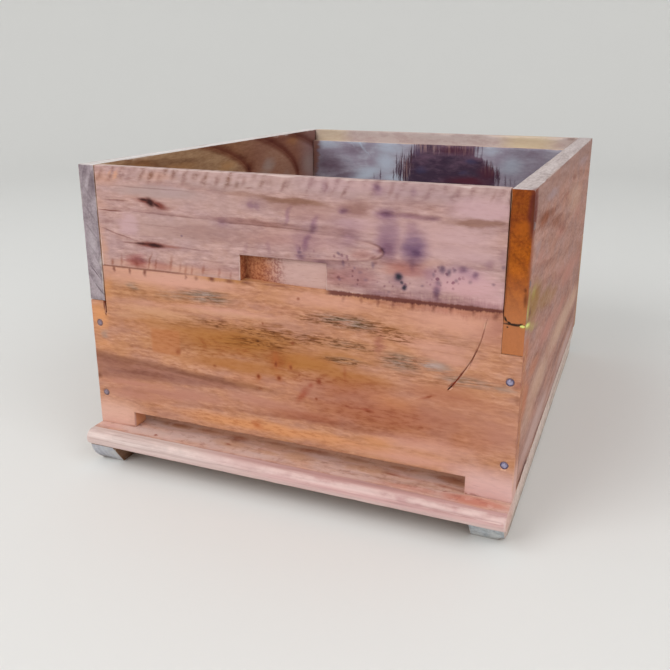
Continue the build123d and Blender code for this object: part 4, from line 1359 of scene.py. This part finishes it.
def dull_nail_steel():
    """Wire nails: bright where the hammer struck, painted highlight in the palest scuffs, painted shade in
    blue violet round the rim, a little rust.
    """
    p = BoardPaint("dull_nail_steel", upright, no_shift)
    scuffs = p.noise(p.place, (0.7, 0.7, 0.7), detail=4.0, roughness=0.65)
    # The palest scuffs are partly painted highlight.
    p.colour = p.ramp(scuffs, ((116, 106, 134), (164, 158, 186), (218, 218, 236)))
    from_middle = p.node("ShaderNodeAttribute", {}, attribute_name="rim").outputs["Fac"]
    uneven = p.scaled(p.less(scuffs, 0.5), 1.2, from_middle)
    # Painted shade round the head's rim, in blue violet.
    rim = p.fade(uneven, 0.4, 0.85)
    p.lay(rim, (72, 62, 92))
    rust = p.patches((0.5, 0.5, 0.5), 0.52, 0.66)
    p.lay(rust, (104, 78, 84), 0.5)
    old = p.node("ShaderNodeAttribute", {}, attribute_name="old").outputs["Fac"]
    old = p.maths("MAXIMUM", old, p.overlap(p.fade(p.along, 0.0, -100.0), 0.7))
    p.lay(old, (112, 80, 70), 0.85)
    wood_dust = p.overlap(p.fade(from_middle, 0.7, 0.95), p.patches((0.35, 0.35, 0.35), 0.46, 0.6))
    p.lay(wood_dust, (140, 94, 78), 0.8)
    bright = p.less(p.scaled(rim, -0.4, 0.6), p.overlap(old, 0.5))
    p.feed(p.shader.inputs["Metallic"], p.maths("MAXIMUM", bright, 0.0))
    return p.surface(p.scaled(scuffs, 0.35, 0.25), scuffs, 0.3, 0.2 * mm)


def dried_glue():
    """A dried bead of yellow green glue."""
    p = BoardPaint("dried_glue", upright, no_shift)
    lumps = p.noise(p.place, (0.4, 0.4, 0.4))
    p.colour = p.ramp(lumps, ((176, 172, 70), (214, 214, 118), (236, 238, 170)))
    return p.surface(p.scaled(lumps, 0.4, 0.25), lumps, 0.3, 0.3 * mm)


def packed_copy(node):
    """A node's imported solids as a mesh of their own, closed again where the packing split it."""
    bm = bmesh.new()
    bm.from_mesh(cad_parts[node].data)
    bmesh.ops.remove_doubles(bm, verts=bm.verts, dist=merge_distance)
    return bm


def solid_boxes(node):
    """The lowest and highest corner of each separate solid in a node."""
    bm = packed_copy(node)
    waiting = set(bm.verts)
    boxes = []
    for start in bm.verts:
        if start not in waiting:
            continue
        waiting.remove(start)
        reached = [start]
        low = high = start.co.copy()
        while reached:
            vert = reached.pop()
            low = Vector(map(min, low, vert.co))
            high = Vector(map(max, high, vert.co))
            for edge in vert.link_edges:
                other = edge.other_vert(vert)
                if other in waiting:
                    waiting.remove(other)
                    reached.append(other)
        boxes.append((low, high))
    bm.free()
    return boxes


# Each nail group, and the way its heads look
nail_heads = {
    "front_nails": Vector((0, -1, 0)),
    "back_nails": Vector((0, 1, 0)),
    "left_nails": Vector((-1, 0, 0)),
    "right_nails": Vector((1, 0, 0)),
    "left_runner_nails": Vector((0, 0, 1)),
    "right_runner_nails": Vector((0, 0, 1)),
}
bright_nails = ("front_nails", "back_nails")
nail_boxes = {node: solid_boxes(node) for node in nail_heads}


def boxes_meet(low, high, other_low, other_high, room):
    return all(low[i] - room < other_high[i] and other_low[i] < high[i] + room for i in range(3))


def nails_in(node):
    """The boxes of the nails that go through a board."""
    low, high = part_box(node)
    found = []
    for boxes in nail_boxes.values():
        found += [box for box in boxes if boxes_meet(low, high, box[0], box[1], 0.0)]
    return found


def near_nail(point, nails):
    return any(boxes_meet(low, high, point, point, nail_room) for low, high in nails)


def new_piece(name, bm, material):
    """Makes the mesh an object at the origin, with one material."""
    mesh = bpy.data.meshes.new(name)
    bm.to_mesh(mesh)
    bm.free()
    mesh.materials.append(material)
    piece = bpy.data.objects.new(name, mesh)
    bpy.context.scene.collection.objects.link(piece)
    return piece


def smooth(piece, angle):
    """Shades a piece smooth, apart from edges that turn by more than an angle."""
    piece.data.shade_smooth()
    piece.data.set_sharp_from_angle(angle=angle)


def turned(outline, steps, merge):
    """A mesh turned about the z axis from an outline of radius and height."""
    bm = bmesh.new()
    verts = [bm.verts.new((radius, 0, height)) for radius, height in outline]
    edges = [bm.edges.new(pair) for pair in zip(verts, verts[1:])]
    bmesh.ops.spin(
        bm,
        geom=edges,
        cent=(0, 0, 0),
        axis=(0, 0, 1),
        angle=math.tau,
        steps=steps,
        use_merge=True,
        use_duplicate=False,
    )
    bmesh.ops.remove_doubles(bm, verts=bm.verts, dist=merge)
    return bm


def drawn_out(pairs, reach):
    """A solid drawn out from a flat outline, which is given as pairs of facing points on its two sides."""
    bm = bmesh.new()
    sides = [(bm.verts.new(first), bm.verts.new(second)) for first, second in pairs]
    outline = bm.faces.new([first for first, second in sides] + [second for first, second in sides[::-1]])
    drawn = bmesh.ops.extrude_face_region(bm, geom=[outline])["geom"]
    deep = [part for part in drawn if isinstance(part, bmesh.types.BMVert)]
    bmesh.ops.translate(bm, verts=deep, vec=reach)
    bmesh.ops.recalc_face_normals(bm, faces=bm.faces)
    return bm


def score(bm, place, normal):
    """Cuts every face where a plane crosses it."""
    everything = bm.verts[:] + bm.edges[:] + bm.faces[:]
    bmesh.ops.bisect_plane(bm, geom=everything, dist=cut_distance, plane_co=place, plane_no=normal)


def board_copy(node):
    """A board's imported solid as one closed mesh, with its flat faces whole again."""
    bm = packed_copy(node)
    bmesh.ops.dissolve_limit(bm, angle_limit=flat_angle, verts=bm.verts, edges=bm.edges)
    return bm


def glue_level(node):
    """The height at which a wall board is glued to its neighbour; a floor piece has none."""
    low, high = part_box(node)
    if "upper" in node:
        return low.z
    return high.z if "lower" in node else None


def at_glue(point, glued):
    return glued is not None and abs(point.z - glued) < glue_reach


def round_arrises(bm, nails, glued):
    """Takes the sharpness off every outer arris, and leaves the nail holes and the glued seams."""
    arrises = []
    for edge in bm.edges:
        sharp = edge.calc_face_angle_signed() > arris_angle
        nailed = any(near_nail(vert.co, nails) for vert in edge.verts)
        if sharp and not nailed and not all(at_glue(vert.co, glued) for vert in edge.verts):
            arrises.append(edge)
    bmesh.ops.bevel(
        bm,
        geom=arrises,
        offset=arris_round,
        offset_type="OFFSET",
        segments=2,
        profile=0.5,
        affect="EDGES",
        material=-1,
        clamp_overlap=False,
    )


def score_grid(bm, step):
    """Cuts every face along a grid, so that wear has points to move."""
    bmesh.ops.triangulate(bm, faces=bm.faces)
    low = Vector([min(vert.co[axis] for vert in bm.verts) for axis in range(3)])
    high = Vector([max(vert.co[axis] for vert in bm.verts) for axis in range(3)])
    for axis in range(3):
        normal = Vector((0, 0, 0))
        normal[axis] = 1
        count = round((high[axis] - low[axis]) / step)
        for index in range(1, count):
            score(bm, low.lerp(high, index / count), normal)


def wear(bm, nails, glued, shift):
    """Slight waves in the faces and small bruises along the arrises, none of them outwards at an arris."""
    bm.normal_update()
    moves = []
    for vert in bm.verts:
        if near_nail(vert.co, nails) or at_glue(vert.co, glued):
            continue
        place = vert.co + shift
        move = face_wave * noise.noise(place / face_wave_length)
        if max(abs(part) for part in vert.normal) < arris_flatness:
            bruise = max(0.0, noise.noise(place / arris_chip_length) + chip_share)
            fine = 0.5 + 0.5 * noise.noise(place / fine_chip_length)
            move = -arris_chip * bruise * fine
        moves.append((vert, vert.normal * move))
    for vert, move in moves:
        vert.co += move


def wear_runner_foot(bm):
    """Wears the right runner's foot back to a slope, as if it was dragged over stones."""
    for vert in bm.verts:
        past = (vert.co - worn_foot).dot(worn_foot_slope)
        if past > 0.0:
            vert.co -= worn_foot_slope * past


def swell_runner_front(bm):
    """Swells the sloping front of the left runner, most at half its height and at its outer side."""
    low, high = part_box("left_runner")
    top_edge = Vector((low.x, low.y, high.z))
    for vert in bm.verts:
        if (vert.co - top_edge).dot(runner_slope) > -mm:
            rise = (vert.co.z - low.z) / (high.z - low.z)
            outward = (high.x - vert.co.x) / (high.x - low.x)
            vert.co.y -= runner_swell * 4.0 * rise * (1.0 - rise) * outward


def close_finger_gap(bm):
    """Draws the lower board's right shoulder out towards the finger beside it, where the two bear."""
    for vert in bm.verts:
        off_face = abs(vert.co.x - shoulder_x)
        if off_face < mm and tongue_top - mm < vert.co.z < front_seam:
            drop = min(1.0, (front_seam - vert.co.z) / gap_run_in)
            vert.co.x += gap_drawn_in * drop * (1.0 - off_face / mm)


def round_lip_corner(bm):
    """Rounds the lip's right front corner, less and less towards the wall."""
    shoulder = floor_high.x - lip_corner
    for share in lip_corner_cuts:
        score(bm, Vector((shoulder + share * lip_corner, 0, 0)), (1, 0, 0))
    bmesh.ops.remove_doubles(bm, verts=bm.verts, dist=lip_merge)
    for vert in bm.verts:
        past = min(vert.co.x - shoulder, lip_corner)
        ahead = (front_low.y - vert.co.y) / (front_low.y - floor_low.y)
        if past > 0.0 and ahead > 0.0:
            vert.co.y += ahead * (lip_corner - math.sqrt(lip_corner**2 - past**2))


def crack_blade():
    """The crack's outline on the lower front board, drawn in to its depth."""
    pairs = []
    for along, up, width in crack_line:
        place = Vector((along * mm, front_low.y - mm, body_base + up * mm))
        half = Vector((0.5 * width * mm, 0, 0))
        pairs.append((place - half, place + half))
    return drawn_out(pairs, (0, crack_depth + mm, 0))


def cut_away(piece, blade):
    """Cuts a blade's shape out of a piece for good."""
    mesh = bpy.data.meshes.new("blade")
    blade.to_mesh(mesh)
    blade.free()
    tool = bpy.data.objects.new("blade", mesh)
    bpy.context.scene.collection.objects.link(tool)
    cut = piece.modifiers.new("cut", "BOOLEAN")
    cut.operation = "DIFFERENCE"
    cut.solver = "EXACT"
    cut.object = tool
    graph = bpy.context.evaluated_depsgraph_get()
    result = bpy.data.meshes.new_from_object(piece.evaluated_get(graph))
    piece.modifiers.clear()
    piece.data = result
    bpy.data.objects.remove(tool)


# Boards with a shape of their own under the general wear
own_shapes = {
    "right_runner": wear_runner_foot,
    "left_runner": swell_runner_front,
    "front_lower_board": close_finger_gap,
}


def make_board(node, body, material, step, seed):
    """One board, worn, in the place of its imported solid."""
    nails = nails_in(node)
    glued = glue_level(node)
    bm = board_copy(node)
    round_arrises(bm, nails, glued)
    score_grid(bm, step)
    if node in own_shapes:
        own_shapes[node](bm)
    wear(bm, nails, glued, wear_shift * seed)
    if node == "floor_lip_board":
        round_lip_corner(bm)
    piece = new_piece("worn_" + node, bm, material)
    if node == "front_lower_board":
        cut_away(piece, crack_blade())
    smooth(piece, board_smoothing)
    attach(piece, body)
    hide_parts(node)
    return piece


def nail_blank(length, old):
    """A round wire nail pointing down, turned from its outline, with a low domed head."""
    outline = [(share * head_radius, head_proud - fall * head_dome) for share, fall in head_curve]
    outline += [
        (head_radius, head_proud - head_dome - head_rim),
        (head_foot_radius, -head_thick),
        (shank_radius, -head_thick),
        (shank_radius, point_length - length),
        (0.0, -length),
    ]
    bm = turned(outline, nail_steps, nail_merge)
    bmesh.ops.recalc_face_normals(bm, faces=bm.faces)
    rim = bm.verts.layers.float.new("rim")
    age = bm.verts.layers.float.new("old")
    for vert in bm.verts:
        vert[rim] = vert.co.xy.length / head_radius
        vert[age] = old
    return bm


def make_nails(node, body, material):
    """The nails of one group, each head dented by its own blows."""
    outward = nail_heads[node]
    axis = max(range(3), key=lambda i: abs(outward[i]))
    turn = Vector((0, 0, 1)).rotation_difference(outward).to_matrix().to_4x4()
    bm = bmesh.new()
    bm.verts.layers.float.new("rim")
    bm.verts.layers.float.new("old")
    for low, high in nail_boxes[node]:
        head = (low + high) / 2
        head[axis] = high[axis] if outward[axis] > 0 else low[axis]
        blank = nail_blank(high[axis] - low[axis], 0.0 if node in bright_nails else 1.0)
        bmesh.ops.transform(blank, matrix=Matrix.Translation(head) @ turn, verts=blank.verts)
        for vert in blank.verts:
            if (vert.co - head).dot(outward) > -hammer_reach:
                vert.co += outward * (hammer_dent * noise.noise(vert.co / hammer_dent_length))
        mesh = bpy.data.meshes.new("nail")
        blank.to_mesh(mesh)
        blank.free()
        bm.from_mesh(mesh)
        bpy.data.meshes.remove(mesh)
    piece = new_piece("hammered_" + node, bm, material)
    smooth(piece, nail_smoothing)
    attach(piece, body)
    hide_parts(node)


def make_splinter(material):
    """A sliver of the right wall that stayed in its open seam, with ragged gaps above and below."""
    pairs = []
    for along, low, high in splinter_line:
        x = right_low.x + along * mm
        y = front_low.y + splinter_set_back + splinter_ripple * math.sin(along)
        pairs.append(((x, y, body_base + low * mm), (x, y, body_base + high * mm)))
    piece = new_piece("split_splinter", drawn_out(pairs, splinter_reach), material)
    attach(piece, "hive_body")


def make_glue_bead(material):
    """A lump of glue squeezed out where the right wall's seam has opened."""
    bm = bmesh.new()
    bmesh.ops.create_icosphere(bm, subdivisions=4, radius=1.0)
    for vert in bm.verts:
        vert.co *= 1.0 + bead_lumps * noise.noise(vert.co * bead_lump_pitch)
    bmesh.ops.scale(bm, verts=bm.verts, vec=bead_size)
    bmesh.ops.translate(bm, verts=bm.verts, vec=bead_place)
    piece = new_piece("glue_bead", bm, material)
    piece.data.shade_smooth()
    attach(piece, "hive_body")


materials = {
    "front_upper_wood": stained_front_upper(),
    "front_lower_wood": weathered_front_lower(),
    "back_wood": grey_back_wall(),
    "left_wood": golden_left_wall(),
    "right_wood": beige_right_wall(),
    "lip_wood": pale_lip(),
    "floor_wood": tan_floor(),
    "runner_wood": grey_runner(),
    "nail_steel": dull_nail_steel(),
}

# Boards: node, body, slot and how closely its faces are cut up
boards = (
    ("front_upper_board", "hive_body", "front_upper_wood", front_grid_step),
    ("front_lower_board", "hive_body", "front_lower_wood", front_grid_step),
    ("back_upper_board", "hive_body", "back_wood", grid_step),
    ("back_lower_board", "hive_body", "back_wood", grid_step),
    ("left_upper_board", "hive_body", "left_wood", grid_step),
    ("left_lower_board", "hive_body", "left_wood", grid_step),
    ("right_upper_board", "hive_body", "right_wood", grid_step),
    ("right_lower_board", "hive_body", "right_wood", grid_step),
    ("floor_lip_board", "floor", "lip_wood", grid_step),
    ("floor_second_board", "floor", "floor_wood", grid_step),
    ("floor_third_board", "floor", "floor_wood", grid_step),
    ("floor_rear_board", "floor", "floor_wood", grid_step),
    ("left_runner", "floor", "runner_wood", grid_step),
    ("right_runner", "floor", "runner_wood", grid_step),
)
for seed, (node, body, slot, step) in enumerate(boards, 1):
    board = make_board(node, body, materials[slot], step, seed)
for node in nail_heads:
    make_nails(node, "floor" if "runner" in node else "hive_body", materials["nail_steel"])
make_splinter(materials["front_lower_wood"])
make_glue_bead(dried_glue())


def make_floor():
    """A pale round floor that sweeps up all round into its own backdrop."""
    outline = [(0, 0), (floor_radius, 0)]
    for index in range(1, sweep_steps + 1):
        turn = 0.5 * math.pi * index / sweep_steps
        out = floor_radius + sweep_radius * math.sin(turn)
        outline.append((out, sweep_radius * (1 - math.cos(turn))))
    outline.append((floor_radius + sweep_radius, 2 * sweep_radius))
    material = bpy.data.materials.new("pale_floor")
    material.use_nodes = True
    shader = material.node_tree.nodes["Principled BSDF"]
    shader.inputs["Base Color"].default_value = shade(226, 226, 224)
    shader.inputs["Roughness"].default_value = 0.9
    shader.inputs["Specular IOR Level"].default_value = 0.1
    floor = new_piece("pale_floor", turned(outline, floor_steps, floor_merge), material)
    floor.data.shade_smooth()


def hang_lamp(name, place, power):
    """A large soft lamp that looks at the box."""
    lamp = bpy.data.lights.new(name, "AREA")
    lamp.shape = "DISK"
    lamp.size = lamp_size
    lamp.energy = power
    hung = bpy.data.objects.new(name, lamp)
    hung.location = place
    hung.rotation_euler = (box_middle - place).to_track_quat("-Z", "Y").to_euler()
    bpy.context.scene.collection.objects.link(hung)


def set_light():
    """An even pale sky, a lamp ahead and to the left, and a weaker one on the right."""
    world = bpy.data.worlds.new("studio")
    world.use_nodes = True
    sky = world.node_tree.nodes["Background"]
    sky.inputs["Color"].default_value = (1.0, 1.0, 1.0, 1.0)
    sky.inputs["Strength"].default_value = world_strength
    bpy.context.scene.world = world
    hang_lamp("key", key_place, key_power)
    hang_lamp("fill", fill_place, fill_power)


def set_camera():
    """The camera that took the photograph."""
    data = bpy.data.cameras.new("photo_camera")
    data.lens = camera_lens
    data.sensor_width = camera_sensor
    data.shift_x, data.shift_y = camera_shift
    camera = bpy.data.objects.new("photo_camera", data)
    turn = Matrix((camera_right, camera_right.cross(camera_ahead), -camera_ahead)).transposed()
    camera.matrix_world = Matrix.Translation(camera_place) @ turn.to_4x4()
    bpy.context.scene.collection.objects.link(camera)
    bpy.context.scene.camera = camera


make_floor()
set_light()
set_camera()
bpy.context.scene.view_settings.view_transform = "Standard"
